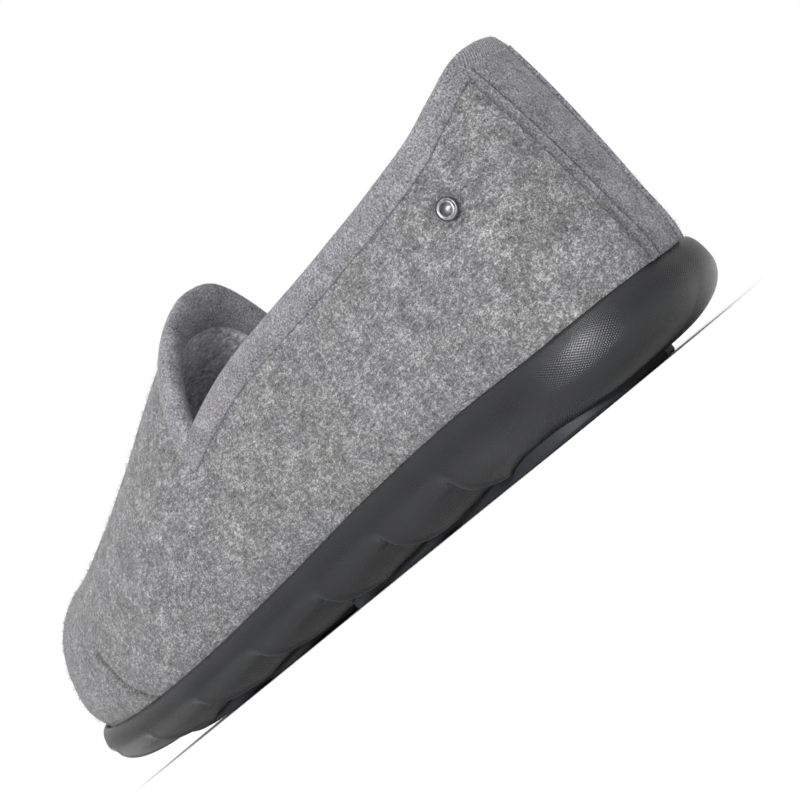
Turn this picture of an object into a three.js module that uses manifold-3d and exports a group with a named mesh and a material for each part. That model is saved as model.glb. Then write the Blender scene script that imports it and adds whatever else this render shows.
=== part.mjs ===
// A left felt slipper with a closed back, standing on its sole.
// Millimetres, +Z up. The toe points to -Y, and +X is the outer (lateral) side.
// The origin is the middle of the slipper's bounding box, on the floor.
//
// The felt is lasted over a foot form: a dome over a foot-shaped outline, whose ridge runs
// along the instep. Every piece of the upper is cut between two such forms, and the sole's
// cup is the same form with a clearance, so all of them follow the sizes below.

import * as THREE from 'three';
import { mergeVertices } from 'three/addons/utils/BufferGeometryUtils.js';
import Module from 'manifold-3d';

const wasm = await Module();
wasm.setup();

// Driving sizes of the form, over the felt
const formLength = 292;
const ballWidth = 96;
const backHeight = 94; // floor to the collar's top edge, at the back
const instepHeight = 102; // floor to the top of the tongue
const bedHeight = 12.5; // floor to the underside of the felt, at the heel
const tuckRise = 20; // height above its underside at which the form is widest

// Upper
const feltWall = 3;
const bindingSkin = 1.0; // how far a binding stands out from the felt
const tongueSkin = 1.5;
const collarBand = 8;
const tongueBand = 7;
const edgeCover = 1.5; // binding above the felt's own edge
const strapTopWidth = 24;
const strapFootWidth = 16;
const strapThickness = 1.1;
const weltWidth = 2.6; // turned edge along each side of the strap
const weltRise = 0.7;
const clearance = 0.3; // between pieces that touch

// Sole
const soleFlare = 3.6; // how far the sole stands out past the form
const lipHeight = 23; // floor to the sole's top edge, beside the heel
const treadDepth = 3; // height of the tread pads
const treadRoot = 3; // how far a pad reaches on into the sole
const toeSpring = 9.5; // how far the tread curves up at the tip of the toe
const toeSpringFrom = 0.7; // share of the form's length at which that curve leaves the floor
const heelBevel = 2.5;
const heelBevelTo = 0.09;
const waveCount = 11; // scallops along half of the sole's edge
const waveDepth = 3.6;
const waveSlant = 0.35; // the ridges run inwards and back
const waveCrest = 0.14; // share of a scallop taken by its steep front
const waveFrom = { none: 2.2, full: 3.2 }; // scallops counted from the back of the heel
const waveAtToe = { from: 0.85, depth: 0.55 }; // share of the edge, and depth left at its end

// Insole, heel inset and side stud
const insoleThickness = 5;
const insoleMargin = 0.25; // past the clearance
const insetLength = 33;
const insetWidth = 37;
const insetDepth = 3.4;
const insetRim = 1.0;
const insetSunk = 0.4;
const insetDish = 1.1;
const studRadius = 3.1;
const studDome = 1.1;
const studNeck = 1.5;
const studFlange = 3.4;
const studFlangeThickness = 0.7;
const studGrip = 1.08 * feltWall; // the felt's thickness along the stud's own axis
const studPlay = { outside: 0.25, inside: 0.35 }; // past the clearance, as the felt curves

// Places, as shares of the form's length counted from the heel
const heelCentreAt = 0.13; // where the round back of the heel is struck from
const toeCentreAt = 0.86;
const notchAt = 0.49; // the low point of the collar, beside the tongue
const insetAt = 0.155;
const studShare = 0.12; // share of the lateral edge's own length, from the back
const studHeightShare = 0.67; // of the back height

const heelRoundness = 2.15; // exponents of the outline's round ends
const toeRoundness = { lateral: 2.25, medial: 2.4 };
const toeTipShift = -0.09; // share of the ball width, towards the big toe

// Half widths of the outline, as shares of the ball width
const outlineTable = {
  lateral: [
    { at: 0.13, width: 0.345 },
    { at: 0.28, width: 0.348 },
    { at: 0.42, width: 0.38 },
    { at: 0.55, width: 0.44 },
    { at: 0.67, width: 0.475 },
  ],
  medial: [
    { at: 0.13, width: 0.335 },
    { at: 0.28, width: 0.295 },
    { at: 0.42, width: 0.3 },
    { at: 0.55, width: 0.385 },
    { at: 0.72, width: 0.5 },
  ],
};

// Ridge height of the form (share of the instep height) and the exponent of its cross-section
const ridgeTable = [
  { at: 0.0, ridge: 1.48, fullness: 2.3 },
  { at: 0.16, ridge: 1.44, fullness: 2.3 },
  { at: 0.32, ridge: 1.24, fullness: 2.55 },
  { at: 0.46, ridge: 1.0, fullness: 2.55 },
  { at: 0.6, ridge: 0.85, fullness: 2.55 },
  { at: 0.7, ridge: 0.748, fullness: 2.5 },
  { at: 0.78, ridge: 0.68, fullness: 2.55 },
  { at: 0.83, ridge: 0.648, fullness: 2.6 },
  { at: 0.86, ridge: 0.637, fullness: 2.65 },
];

// Underside of the felt, as a share of the bed height at the heel
const bedTable = [
  { at: 0.0, share: 1.0 },
  { at: 0.3, share: 0.96 },
  { at: 0.55, share: 0.86 },
  { at: 0.72, share: 0.84 },
  { at: 0.86, share: 1.05 },
  { at: 1.0, share: 1.5 },
];

// How far the form draws in under its widest line, by the share of the edge's own length
const tuckTable = [
  { share: 0.0, tuck: 1.8 },
  { share: 0.3, tuck: 1.6 },
  { share: 0.7, tuck: 2.2 },
  { share: 0.86, tuck: 5.5 },
  { share: 1.0, tuck: 8.5 },
];

// Top edge of the sole, as a share of the lip height at the heel
const lipTable = [
  { at: 0.0, share: 0.93 },
  { at: 0.1, share: 0.95 },
  { at: 0.22, share: 1.0 },
  { at: 0.36, share: 0.96 },
  { at: 0.5, share: 0.84 },
  { at: 0.65, share: 0.76 },
  { at: 0.78, share: 0.79 },
  { at: 0.88, share: 0.9 },
  { at: 0.95, share: 1.02 },
  { at: 1.0, share: 1.12 },
];

// Top edge of the collar from the back to the notch, as a share of the back height
const collarTable = [
  { at: 0.0, share: 1.0 },
  { at: 0.02, share: 0.985 },
  { at: 0.04, share: 0.935 },
  { at: 0.075, share: 0.88 },
  { at: 0.13, share: 0.852 },
  { at: 0.22, share: 0.836 },
  { at: 0.33, share: 0.818 },
  { at: 0.41, share: 0.8 },
  { at: 0.46, share: 0.77 },
  { at: 0.5, share: 0.73 },
  { at: 0.56, share: 0.66 },
];

// Rear edge of the tongue: how far it lies behind the notch, by height
const tongueTable = [
  { height: 0.4, back: -0.02 },
  { height: 0.6, back: 0.0 },
  { height: 0.75, back: 0.006 },
  { height: 0.9, back: 0.018 },
  { height: 1.0, back: 0.033 },
  { height: 1.2, back: 0.08 },
];

// Section of the sole, from the middle of its underside out and up to its lip.
// inward: share of the way in to the middle; rise: share of the way up from floor to lip;
// scoop and lift: how much of the scallops' depth acts inwards and upwards.
const soleProfile = [
  { inward: 0.8, rise: 0.085, scoop: 0, lift: 0.15 },
  { inward: 0.56, rise: 0.09, scoop: 0, lift: 0.55 },
  { inward: 0.34, rise: 0.12, scoop: 0, lift: 0.9 },
  { inward: 0.17, rise: 0.2, scoop: 0.2, lift: 1.0 },
  { inward: 0.07, rise: 0.31, scoop: 0.9, lift: 0.6 },
  { inward: 0.012, rise: 0.46, scoop: 0.5, lift: 0.1 },
  { inward: 0.0, rise: 0.62, scoop: 0, lift: 0 },
  { inward: 0.012, rise: 0.82, scoop: 0, lift: 0 },
  { inward: 0.042, rise: 0.95, scoop: 0, lift: 0 },
  { inward: 0.075, rise: 1.0, scoop: 0, lift: 0 },
];

// How far the sole stands out past the form, as a share of its flare, by the share of the edge
const flareTable = [
  { share: 0.0, flare: 0.35 },
  { share: 0.12, flare: 0.7 },
  { share: 0.25, flare: 1.0 },
  { share: 0.8, flare: 0.9 },
  { share: 0.92, flare: 0.05 },
  { share: 1.0, flare: -0.5 },
];

// Section of the insole, from the edge of its underside up and in to its middle
const insoleProfile = [
  { inward: 0, level: 0 },
  { inward: 0, level: 0.75 },
  { inward: 0.04, level: 1 },
  { inward: 0.3, level: 0.8 },
  { inward: 0.75, level: 0.72 },
];

// Tread pads: their edges on each side, as shares of the ball width (plus is lateral)
const heelPadTable = [
  { at: 0.082, lateral: 0.06, medial: -0.04 },
  { at: 0.094, lateral: 0.16, medial: -0.14 },
  { at: 0.12, lateral: 0.25, medial: -0.21 },
  { at: 0.155, lateral: 0.29, medial: -0.245 },
  { at: 0.21, lateral: 0.255, medial: -0.235 },
  { at: 0.27, lateral: 0.18, medial: -0.18 },
  { at: 0.34, lateral: 0.165, medial: -0.1 },
  { at: 0.4, lateral: 0.185, medial: 0.03 },
  { at: 0.45, lateral: 0.22, medial: 0.14 },
  { at: 0.49, lateral: 0.25, medial: 0.235 },
];
const toePadTable = [
  { at: 0.405, lateral: -0.01, medial: -0.03 },
  { at: 0.45, lateral: 0.06, medial: -0.12 },
  { at: 0.505, lateral: 0.13, medial: -0.24 },
  { at: 0.56, lateral: 0.2, medial: -0.33 },
  { at: 0.62, lateral: 0.26, medial: -0.39 },
  { at: 0.73, lateral: 0.3, medial: -0.44 },
  { at: 0.8, lateral: 0.26, medial: -0.43 },
  { at: 0.86, lateral: 0.17, medial: -0.38 },
  { at: 0.905, lateral: 0.05, medial: -0.28 },
  { at: 0.93, lateral: -0.05, medial: -0.16 },
];

// Fineness of the meshes
const formPairs = 30; // points along each side of a form
const formClimbs = [0, 0.035, 0.08, 0.14, 0.24, 0.37, 0.52, 0.67, 0.8, 0.9, 0.96, 0.99, 1];
const scallopPhases = [0, waveCrest, 0.4, 0.7];
const edgeSteps = 26; // along a cutting line
const arcSteps = 14; // round a quarter of the outline's heel or toe
const sideSteps = 12; // along a side of the outline, from heel to ball
const padSteps = 16;
const ovalSides = 36;
const studSides = 20;

// Table reading

/** Reads a column of a table at a key, by a smooth curve through its rows. */
function readTable(rows, key, column, value) {
  const last = rows.length - 1;
  if (value <= rows[0][key]) return rows[0][column];
  if (value >= rows[last][key]) return rows[last][column];
  let i = 0;
  while (value > rows[i + 1][key]) i += 1;
  const slope = (k) => {
    const a = rows[Math.max(k - 1, 0)];
    const b = rows[Math.min(k + 1, last)];
    return (b[column] - a[column]) / (b[key] - a[key]);
  };
  const step = rows[i + 1][key] - rows[i][key];
  const t = (value - rows[i][key]) / step;
  const ease = t * t * (3 - 2 * t);
  return (
    (1 - ease) * rows[i][column] +
    ease * rows[i + 1][column] +
    t * (1 - t) ** 2 * step * slope(i) -
    t * t * (1 - t) * step * slope(i + 1)
  );
}

const yAt = (at) => formLength * (0.5 - at);
const atY = (y) => 0.5 - y / formLength;
const ridgeHeight = (y) => instepHeight * readTable(ridgeTable, 'at', 'ridge', atY(y));
const bedLevel = (y) => bedHeight * readTable(bedTable, 'at', 'share', atY(y));
const lipLevel = (y) => lipHeight * readTable(lipTable, 'at', 'share', atY(y));
const collarLevel = (y) => backHeight * readTable(collarTable, 'at', 'share', atY(y));
const tongueEdge = (z) => yAt(notchAt - readTable(tongueTable, 'height', 'back', z / instepHeight));

const rockerEnd = 1.2; // the curve stays level a little past the form's own ends

/** How far the tread curves up from the floor towards the toe and the heel. */
function rocker(y) {
  const toe = Math.max((atY(y) - toeSpringFrom) / (1 - toeSpringFrom), 0);
  const heel = Math.max(1 - atY(y) / heelBevelTo, 0);
  return toeSpring * Math.min(toe, rockerEnd) ** 2 + heelBevel * Math.min(heel, rockerEnd) ** 2;
}

// Outline of the form, seen from above

/** Points along one side of the outline, from the back of the heel to the tip of the toe. */
function sidePoints(side) {
  const sign = side === 'lateral' ? 1 : -1;
  const rows = outlineTable[side];
  const widthAt = (at) => sign * ballWidth * readTable(rows, 'at', 'width', at);
  const heelRow = rows[0].at;
  const ballRow = rows[rows.length - 1].at;
  const tip = toeTipShift * ballWidth;
  const points = [];
  for (let i = 0; i < arcSteps; i += 1) {
    const angle = (Math.PI / 2) * (i / arcSteps);
    const out = Math.sin(angle) ** (2 / heelRoundness);
    const back = Math.cos(angle) ** (2 / heelRoundness);
    points.push(new THREE.Vector2(widthAt(heelRow) * out, yAt(heelRow * (1 - back))));
  }
  for (let i = 0; i <= sideSteps; i += 1) {
    const at = THREE.MathUtils.lerp(heelRow, ballRow, i / sideSteps);
    points.push(new THREE.Vector2(widthAt(at), yAt(at)));
  }
  const power = 2 / toeRoundness[side];
  for (let i = 1; i <= arcSteps; i += 1) {
    const angle = (Math.PI / 2) * (i / arcSteps);
    const out = i === arcSteps ? 0 : Math.cos(angle) ** power;
    const ahead = Math.sin(angle) ** power;
    const x = THREE.MathUtils.lerp(tip, widthAt(ballRow), out);
    points.push(new THREE.Vector2(x, yAt(THREE.MathUtils.lerp(ballRow, 1, ahead))));
  }
  return points;
}

const sideCurves = {
  lateral: new THREE.SplineCurve(sidePoints('lateral')),
  medial: new THREE.SplineCurve(sidePoints('medial')),
};
for (const curve of Object.values(sideCurves)) curve.arcLengthDivisions = 900;

/** A point of the outline at a share of one side's length, moved out by an offset. */
function outlinePoint(side, share, offset) {
  const curve = sideCurves[side];
  const point = curve.getPointAt(share);
  const tangent = curve.getTangentAt(share);
  const outward = side === 'lateral'
    ? new THREE.Vector2(-tangent.y, tangent.x)
    : new THREE.Vector2(tangent.y, -tangent.x);
  if (share === 0) outward.set(0, 1);
  if (share === 1) outward.set(0, -1);
  return point.addScaledVector(outward, offset);
}

/** The point of the middle line that a pair of outline points leans in to. */
function middlePoint(share) {
  const a = sideCurves.lateral.getPointAt(share);
  const b = sideCurves.medial.getPointAt(share);
  const y = THREE.MathUtils.clamp((a.y + b.y) / 2, yAt(toeCentreAt), yAt(heelCentreAt));
  const width = (side) => ballWidth * readTable(outlineTable[side], 'at', 'width', atY(y));
  return new THREE.Vector2((width('lateral') - width('medial')) / 2, y);
}

/** The stops of one whole turn round the outline: heel, lateral side, toe, medial side. */
function turnStops(shares) {
  const inner = shares.slice(1, -1);
  return [
    { side: 'lateral', share: 0 },
    ...inner.map((share) => ({ side: 'lateral', share })),
    { side: 'lateral', share: 1 },
    ...inner.slice().reverse().map((share) => ({ side: 'medial', share })),
  ];
}

// Solids

/** A manifold solid from a closed indexed or plain geometry. */
function toSolid(geometry) {
  const bare = geometry.clone();
  for (const name of Object.keys(bare.attributes)) {
    if (name !== 'position') bare.deleteAttribute(name);
  }
  const merged = mergeVertices(bare, 1e-4);
  const index = Array.from(merged.index.array);
  const kept = [];
  for (let i = 0; i < index.length; i += 3) {
    const [a, b, c] = index.slice(i, i + 3);
    if (a !== b && b !== c && c !== a) kept.push(a, b, c);
  }
  const mesh = new wasm.Mesh({
    numProp: 3,
    vertProperties: new Float32Array(merged.attributes.position.array),
    triVerts: new Uint32Array(kept),
  });
  return new wasm.Manifold(mesh);
}

/** A plain geometry from a manifold solid. */
function toGeometry(solid) {
  const { vertProperties, triVerts } = solid.getMesh();
  const geometry = new THREE.BufferGeometry();
  geometry.setAttribute('position', new THREE.BufferAttribute(new Float32Array(vertProperties), 3));
  geometry.setIndex(new THREE.BufferAttribute(new Uint32Array(triVerts), 1));
  return geometry;
}

/** A closed solid from rings of equal length, low to high, with both ends bridged across. */
function ringSolid(rings) {
  const count = rings[0].length;
  const positions = rings.flat().flatMap((p) => [p.x, p.y, p.z]);
  const index = [];
  const quad = (a, b, c, d) => index.push(a, b, c, a, c, d);
  for (let k = 0; k + 1 < rings.length; k += 1) {
    for (let j = 0; j < count; j += 1) {
      const next = (j + 1) % count;
      quad(k * count + next, k * count + j, (k + 1) * count + j, (k + 1) * count + next);
    }
  }
  const top = (rings.length - 1) * count;
  for (let j = 0; j < count / 2; j += 1) {
    const far = (count - j) % count;
    const farNext = count - j - 1;
    quad(j, j + 1, farNext, far);
    quad(top + far, top + farNext, top + j + 1, top + j);
  }
  const geometry = new THREE.BufferGeometry();
  geometry.setAttribute('position', new THREE.Float32BufferAttribute(positions, 3));
  geometry.setIndex(index);
  return toSolid(geometry);
}

/** A prism across the slipper from points in the YZ plane. */
function sidePrism(points, halfWidth) {
  const shape = new THREE.Shape(points.map(([y, z]) => new THREE.Vector2(y, z)));
  const geometry = new THREE.ExtrudeGeometry(shape, { depth: 2 * halfWidth, bevelEnabled: false });
  // the shape's own x, y and depth become the slipper's Y, Z and X
  geometry.applyMatrix4(new THREE.Matrix4().makeBasis(
    new THREE.Vector3(0, 1, 0),
    new THREE.Vector3(0, 0, 1),
    new THREE.Vector3(1, 0, 0),
  ));
  geometry.translate(-halfWidth, 0, 0);
  return toSolid(geometry);
}

/** A point of the form: at a stop of the outline and a share of the climb to the ridge. */
function formPoint({ side, share }, climb, offset) {
  const middle = middlePoint(share);
  const full = readTable(ridgeTable, 'at', 'fullness', atY(middle.y));
  const spread = (1 - climb ** full) ** (1 / full);
  const edge = outlinePoint(side, share, offset);
  const base = bedLevel(THREE.MathUtils.lerp(middle.y, edge.y, spread));
  const rise = (ridgeHeight(middle.y) + offset - base) * climb;
  const drawn = Math.max(1 - rise / tuckRise, 0) ** 2 * readTable(tuckTable, 'share', 'tuck', share);
  const plan = middle.clone().lerp(outlinePoint(side, share, offset - drawn), spread);
  return new THREE.Vector3(plan.x, plan.y, bedLevel(plan.y) + rise);
}

/** The foot form, grown by an offset and carried on downwards by a drop. */
function footForm(offset, drop = 0) {
  const stops = turnStops(spaced(0, 1, formPairs));
  const rings = formClimbs.map((climb) => stops.map((stop) => formPoint(stop, climb, offset)));
  if (drop > 0) rings.unshift(rings[0].map((point) => point.clone().setZ(point.z - drop)));
  return ringSolid(rings);
}

// Cutting bodies, which reach well past the slipper
const reach = { side: ballWidth, ahead: formLength, up: 2 * instepHeight };
const collarLineEnds = { back: -0.08, front: 0.6 };
const lipLineEnds = { back: -0.08, front: 1.08 };
const tongueLineEnds = { low: 0.45, high: 1.2 }; // shares of the instep height

/** Evenly spaced values between two ends. */
function spaced(from, to, count) {
  return Array.from({ length: count + 1 }, (_, i) => THREE.MathUtils.lerp(from, to, i / count));
}

/** Everything above the collar's edge, which is first moved down by an amount. */
function aboveCollar(down) {
  const line = spaced(yAt(collarLineEnds.back), yAt(collarLineEnds.front), edgeSteps)
    .map((y) => [y, collarLevel(y) - down]);
  const corners = [
    [-reach.ahead, line[edgeSteps][1]],
    [-reach.ahead, reach.up],
    [reach.ahead, reach.up],
    [reach.ahead, line[0][1]],
  ];
  return sidePrism([...line, ...corners], reach.side);
}

/** Everything behind the tongue's rear edge, which is first moved forward by an amount. */
function behindTongue(forward) {
  const line = spaced(instepHeight * tongueLineEnds.low, instepHeight * tongueLineEnds.high, edgeSteps)
    .map((z) => [tongueEdge(z) - forward, z]);
  const corners = [
    [line[edgeSteps][0], reach.up],
    [reach.ahead, reach.up],
    [reach.ahead, -reach.up],
    [line[0][0], -reach.up],
  ];
  return sidePrism([...line, ...corners], reach.side);
}

/** The opening for the foot, grown into the felt by an amount. */
const opening = (grown) => aboveCollar(grown).intersect(behindTongue(grown));

/** Everything that lies higher than the sole's lip, with a gap. */
function aboveLip(gap) {
  const line = spaced(yAt(lipLineEnds.back), yAt(lipLineEnds.front), edgeSteps)
    .map((y) => [y, lipLevel(y) + gap]);
  return sidePrism([...line, [-reach.ahead, reach.up], [reach.ahead, reach.up]], reach.side);
}

// The solids of each piece

/** A wall that lies between two forms. */
const wallBetween = (outer, inner) => footForm(outer).subtract(footForm(inner, bedHeight));

/** Where the side stud sits: its place on the felt and the direction that it faces. */
function studSeat() {
  const foot = formPoint({ side: 'lateral', share: studShare }, 0, 0);
  const ridge = ridgeHeight(middlePoint(studShare).y);
  const climb = (backHeight * studHeightShare - foot.z) / (ridge - foot.z);
  const point = (share, height) => formPoint({ side: 'lateral', share }, height, 0);
  const step = 0.01;
  const along = point(studShare + step, climb).sub(point(studShare - step, climb));
  const upwards = point(studShare, climb + step).sub(point(studShare, climb - step));
  return { place: point(studShare, climb), facing: upwards.cross(along).normalize() };
}

/** A solid of revolution whose axis is turned to stand out of the felt at the stud's seat. */
function seatedLathe(profile, sides) {
  const { place, facing } = studSeat();
  const geometry = new THREE.LatheGeometry(profile.map(([r, h]) => new THREE.Vector2(r, h)), sides);
  geometry.applyQuaternion(new THREE.Quaternion().setFromUnitVectors(new THREE.Vector3(0, 1, 0), facing));
  geometry.translate(place.x, place.y, place.z);
  return toSolid(geometry);
}

/** The stud: a domed head outside, a neck through the felt and a flange inside. */
function studSolid() {
  const head = clearance + studPlay.outside;
  const inside = -studGrip - clearance - studPlay.inside;
  return seatedLathe([
    [0, inside - studFlangeThickness],
    [studFlange, inside - studFlangeThickness],
    [studFlange, inside],
    [studNeck, inside],
    [studNeck, head],
    [studRadius, head],
    [studRadius, head + 0.35 * studDome],
    [0.86 * studRadius, head + 0.75 * studDome],
    [0.72 * studRadius, head + 0.62 * studDome],
    [0.45 * studRadius, head + 0.9 * studDome],
    [0, head + studDome],
  ], studSides);
}

/** The hole in the felt for the stud's neck. */
function studHole() {
  const radius = studNeck + clearance;
  const depth = 2 * studGrip;
  return seatedLathe([[0, -depth], [radius, -depth], [radius, depth], [0, depth]], studSides);
}

/** The felt upper: one hollow wall, open at the collar and underneath. */
function upperSolid() {
  return wallBetween(0, -feltWall).subtract(opening(edgeCover)).subtract(studHole());
}

/** The room that the felt takes inside a binding. */
function feltRoom() {
  return wallBetween(clearance, -feltWall - clearance).subtract(opening(edgeCover - clearance));
}

/** The binding folded over the collar, from one side's notch round the back to the other's. */
function collarBindingSolid() {
  const skin = wallBetween(bindingSkin, -feltWall - bindingSkin);
  const band = aboveCollar(collarBand).subtract(aboveCollar(0));
  return skin.intersect(band).intersect(behindTongue(tongueBand)).subtract(feltRoom());
}

/** The thicker binding over the tongue's rear edge. */
function tongueBindingSolid() {
  const skin = wallBetween(tongueSkin, -feltWall - tongueSkin);
  const band = behindTongue(tongueBand).subtract(behindTongue(0));
  return skin.intersect(band).intersect(aboveCollar(-clearance)).subtract(feltRoom());
}

/** A tall upright slab at the back of the heel, whose width grows from the lip to the collar. */
function strapSlab(margin) {
  const foot = strapFootWidth / 2 - margin;
  const top = strapTopWidth / 2 - margin;
  const at = (z) => THREE.MathUtils.mapLinear(z, lipHeight, backHeight, foot, top);
  const low = 0;
  const high = reach.up;
  const shape = new THREE.Shape([
    new THREE.Vector2(-at(low), low),
    new THREE.Vector2(at(low), low),
    new THREE.Vector2(at(high), high),
    new THREE.Vector2(-at(high), high),
  ]);
  const geometry = new THREE.ExtrudeGeometry(shape, { depth: formLength, bevelEnabled: false });
  geometry.rotateX(Math.PI / 2);
  geometry.translate(0, formLength, 0);
  return toSolid(geometry);
}

/** The strap up the back of the heel, with a turned edge along each side. */
function heelStrapSolid() {
  const skin = (thickness) => footForm(clearance + thickness).subtract(footForm(clearance, bedHeight));
  const flat = skin(strapThickness).intersect(strapSlab(0));
  const welts = skin(strapThickness + weltRise).intersect(strapSlab(0)).subtract(strapSlab(weltWidth));
  const underBinding = aboveCollar(collarBand + clearance);
  return flat.add(welts).intersect(aboveLip(clearance)).subtract(underBinding);
}

/** How deep the scallops cut at a share of the half edge: none round the heel. */
function scallopDepth(share) {
  const phase = (share * waveCount) % 1;
  const shape = phase < waveCrest ? phase / waveCrest : (1 - phase) / (1 - waveCrest);
  const begins = THREE.MathUtils.smoothstep(share * waveCount, waveFrom.none, waveFrom.full);
  const ends = 1 - (1 - waveAtToe.depth) * THREE.MathUtils.smoothstep(share, waveAtToe.from, 1);
  return waveDepth * shape * begins * ends;
}

/** The outside of the sole, from its underside to its lip, before the cup is cut. */
function soleBlank() {
  const shares = [];
  for (let i = 0; i < waveCount; i += 1) {
    for (const phase of scallopPhases) shares.push((i + phase) / waveCount);
  }
  shares.push(1);
  const stops = turnStops(shares);
  const rings = soleProfile.map(({ inward, rise, scoop, lift }) => stops.map(({ side, share }) => {
    const depth = share === 0 || share === 1 ? 0 : scallopDepth(share);
    const flare = soleFlare * readTable(flareTable, 'share', 'flare', share);
    const edge = outlinePoint(side, share, flare - depth * scoop);
    const middle = middlePoint(share);
    const plan = edge.clone().lerp(middle, inward);
    const slantFade = Math.sin(Math.PI * share) ** 0.5;
    plan.y += waveSlant * inward * edge.distanceTo(middle) * (share === 1 ? 0 : slantFade);
    const floor = rocker(plan.y);
    const z = floor + (lipLevel(edge.y) - floor) * rise + depth * lift;
    return new THREE.Vector3(plan.x, plan.y, z);
  }));
  return ringSolid(rings);
}

/** A closed solid between a low and a high ring whose first half faces its second half. */
function padRingSolid(low, high) {
  const count = low.length;
  const positions = [...low, ...high].flatMap((p) => [p.x, p.y, p.z]);
  const index = [];
  const quad = (a, b, c, d) => index.push(a, b, c, a, c, d);
  for (let j = 0; j < count; j += 1) {
    const next = (j + 1) % count;
    quad(next, j, count + j, count + next);
  }
  for (let j = 0; j + 1 < count / 2; j += 1) {
    const far = count - 1 - j;
    quad(j, j + 1, far - 1, far);
    quad(count + far, count + far - 1, count + j + 1, count + j);
  }
  const geometry = new THREE.BufferGeometry();
  geometry.setAttribute('position', new THREE.Float32BufferAttribute(positions, 3));
  geometry.setIndex(index);
  return toSolid(geometry);
}

/** A tread pad: a flat island that follows the sole's rocker. */
function padSolid(table) {
  const first = table[0].at;
  const last = table[table.length - 1].at;
  const edgesAt = (at) => ({
    lateral: ballWidth * readTable(table, 'at', 'lateral', at),
    medial: ballWidth * readTable(table, 'at', 'medial', at),
  });
  const ring = (level) => {
    const stations = spaced(first, last, padSteps);
    const row = (side) => stations.map((at) => {
      const y = yAt(at);
      return new THREE.Vector3(edgesAt(at)[side], y, rocker(y) + level);
    });
    return [...row('lateral'), ...row('medial').reverse()];
  };
  return padRingSolid(ring(0), ring(treadDepth + treadRoot));
}

/** An upright oval turned from a profile of [share of the radius, height]. */
function ovalSolid(profile, grown) {
  const points = profile.map(([r, h]) => new THREE.Vector2(r, h));
  const geometry = new THREE.LatheGeometry(points, ovalSides);
  geometry.rotateX(Math.PI / 2);
  geometry.scale(insetWidth / 2 + grown, insetLength / 2 + grown, 1);
  geometry.translate(0, yAt(insetAt), 0);
  return toSolid(geometry);
}

/** The oval inset in the heel pad: a dished plug with a thin rim. */
function heelInsetSolid() {
  const rim = 1 - insetRim / (insetWidth / 2);
  return ovalSolid([
    [0, insetSunk + insetDish],
    [0.97 * rim, insetSunk + insetDish],
    [rim, insetSunk],
    [1, insetSunk],
    [1, insetDepth],
    [0, insetDepth],
  ], 0);
}

/** The sole: scalloped blank and tread pads, with the cup for the upper cut in. */
function soleSolid() {
  const roof = insetDepth + clearance;
  const seat = ovalSolid([[0, -treadRoot], [1, -treadRoot], [1, roof], [0, roof]], clearance);
  return soleBlank()
    .add(padSolid(heelPadTable))
    .add(padSolid(toePadTable))
    .subtract(footForm(clearance, clearance))
    .subtract(seat);
}

/** The insole: lies in the upper's bottom opening, with a raised, dished edge. */
function insoleSolid() {
  const stops = turnStops(spaced(0, 1, formPairs));
  const rings = insoleProfile.map(({ inward, level }) => stops.map(({ side, share }) => {
    const tuck = readTable(tuckTable, 'share', 'tuck', share);
    const edge = outlinePoint(side, share, -feltWall - clearance - insoleMargin - tuck);
    const plan = edge.lerp(middlePoint(share), inward);
    return new THREE.Vector3(plan.x, plan.y, bedLevel(plan.y) + clearance + insoleThickness * level);
  }));
  return ringSolid(rings);
}

// Assembly

const finishes = {
  felt: { color: 0x86868a, roughness: 0.95, metalness: 0 },
  velour: { color: 0x8a8a92, roughness: 0.9, metalness: 0 },
  velourDark: { color: 0x75757d, roughness: 0.9, metalness: 0 },
  sole: { color: 0x3c3c3f, roughness: 0.55, metalness: 0 },
  inset: { color: 0xc9543f, roughness: 0.4, metalness: 0 },
  fleece: { color: 0x8d8c92, roughness: 1, metalness: 0 },
  steel: { color: 0xb9babd, roughness: 0.25, metalness: 1 },
};

const slipper = new THREE.Group();

/** Adds one named piece. */
function addPiece(name, solid, finish) {
  const mesh = new THREE.Mesh(toGeometry(solid), new THREE.MeshStandardMaterial(finishes[finish]));
  mesh.name = name;
  slipper.add(mesh);
}

addPiece('sole', soleSolid(), 'sole');
addPiece('heel_inset', heelInsetSolid(), 'inset');
addPiece('insole', insoleSolid(), 'fleece');
addPiece('upper', upperSolid(), 'felt');
addPiece('heel_strap', heelStrapSolid(), 'velour');
addPiece('collar_binding', collarBindingSolid(), 'velour');
addPiece('tongue_binding', tongueBindingSolid(), 'velourDark');
addPiece('side_stud', studSolid(), 'steel');

// The origin is the middle of the box, at the floor
const box = new THREE.Box3().setFromObject(slipper);
slipper.position.set(-(box.min.x + box.max.x) / 2, -(box.min.y + box.max.y) / 2, -box.min.z);

export default slipper;
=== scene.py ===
"""A left felt slipper with a closed back, dressed and lit for a studio picture.

The slipper's own shape is a foot form: a dome over a foot-shaped outline. Every sewn piece is
laid on that form by a share of the outline's length, a climb to its ridge and an offset.
"""

import logging
import math
from dataclasses import dataclass, field
from enum import Enum
from typing import Callable, Optional, Sequence

import bmesh
import bpy
import numpy as np
from mathutils import Matrix, Vector

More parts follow.
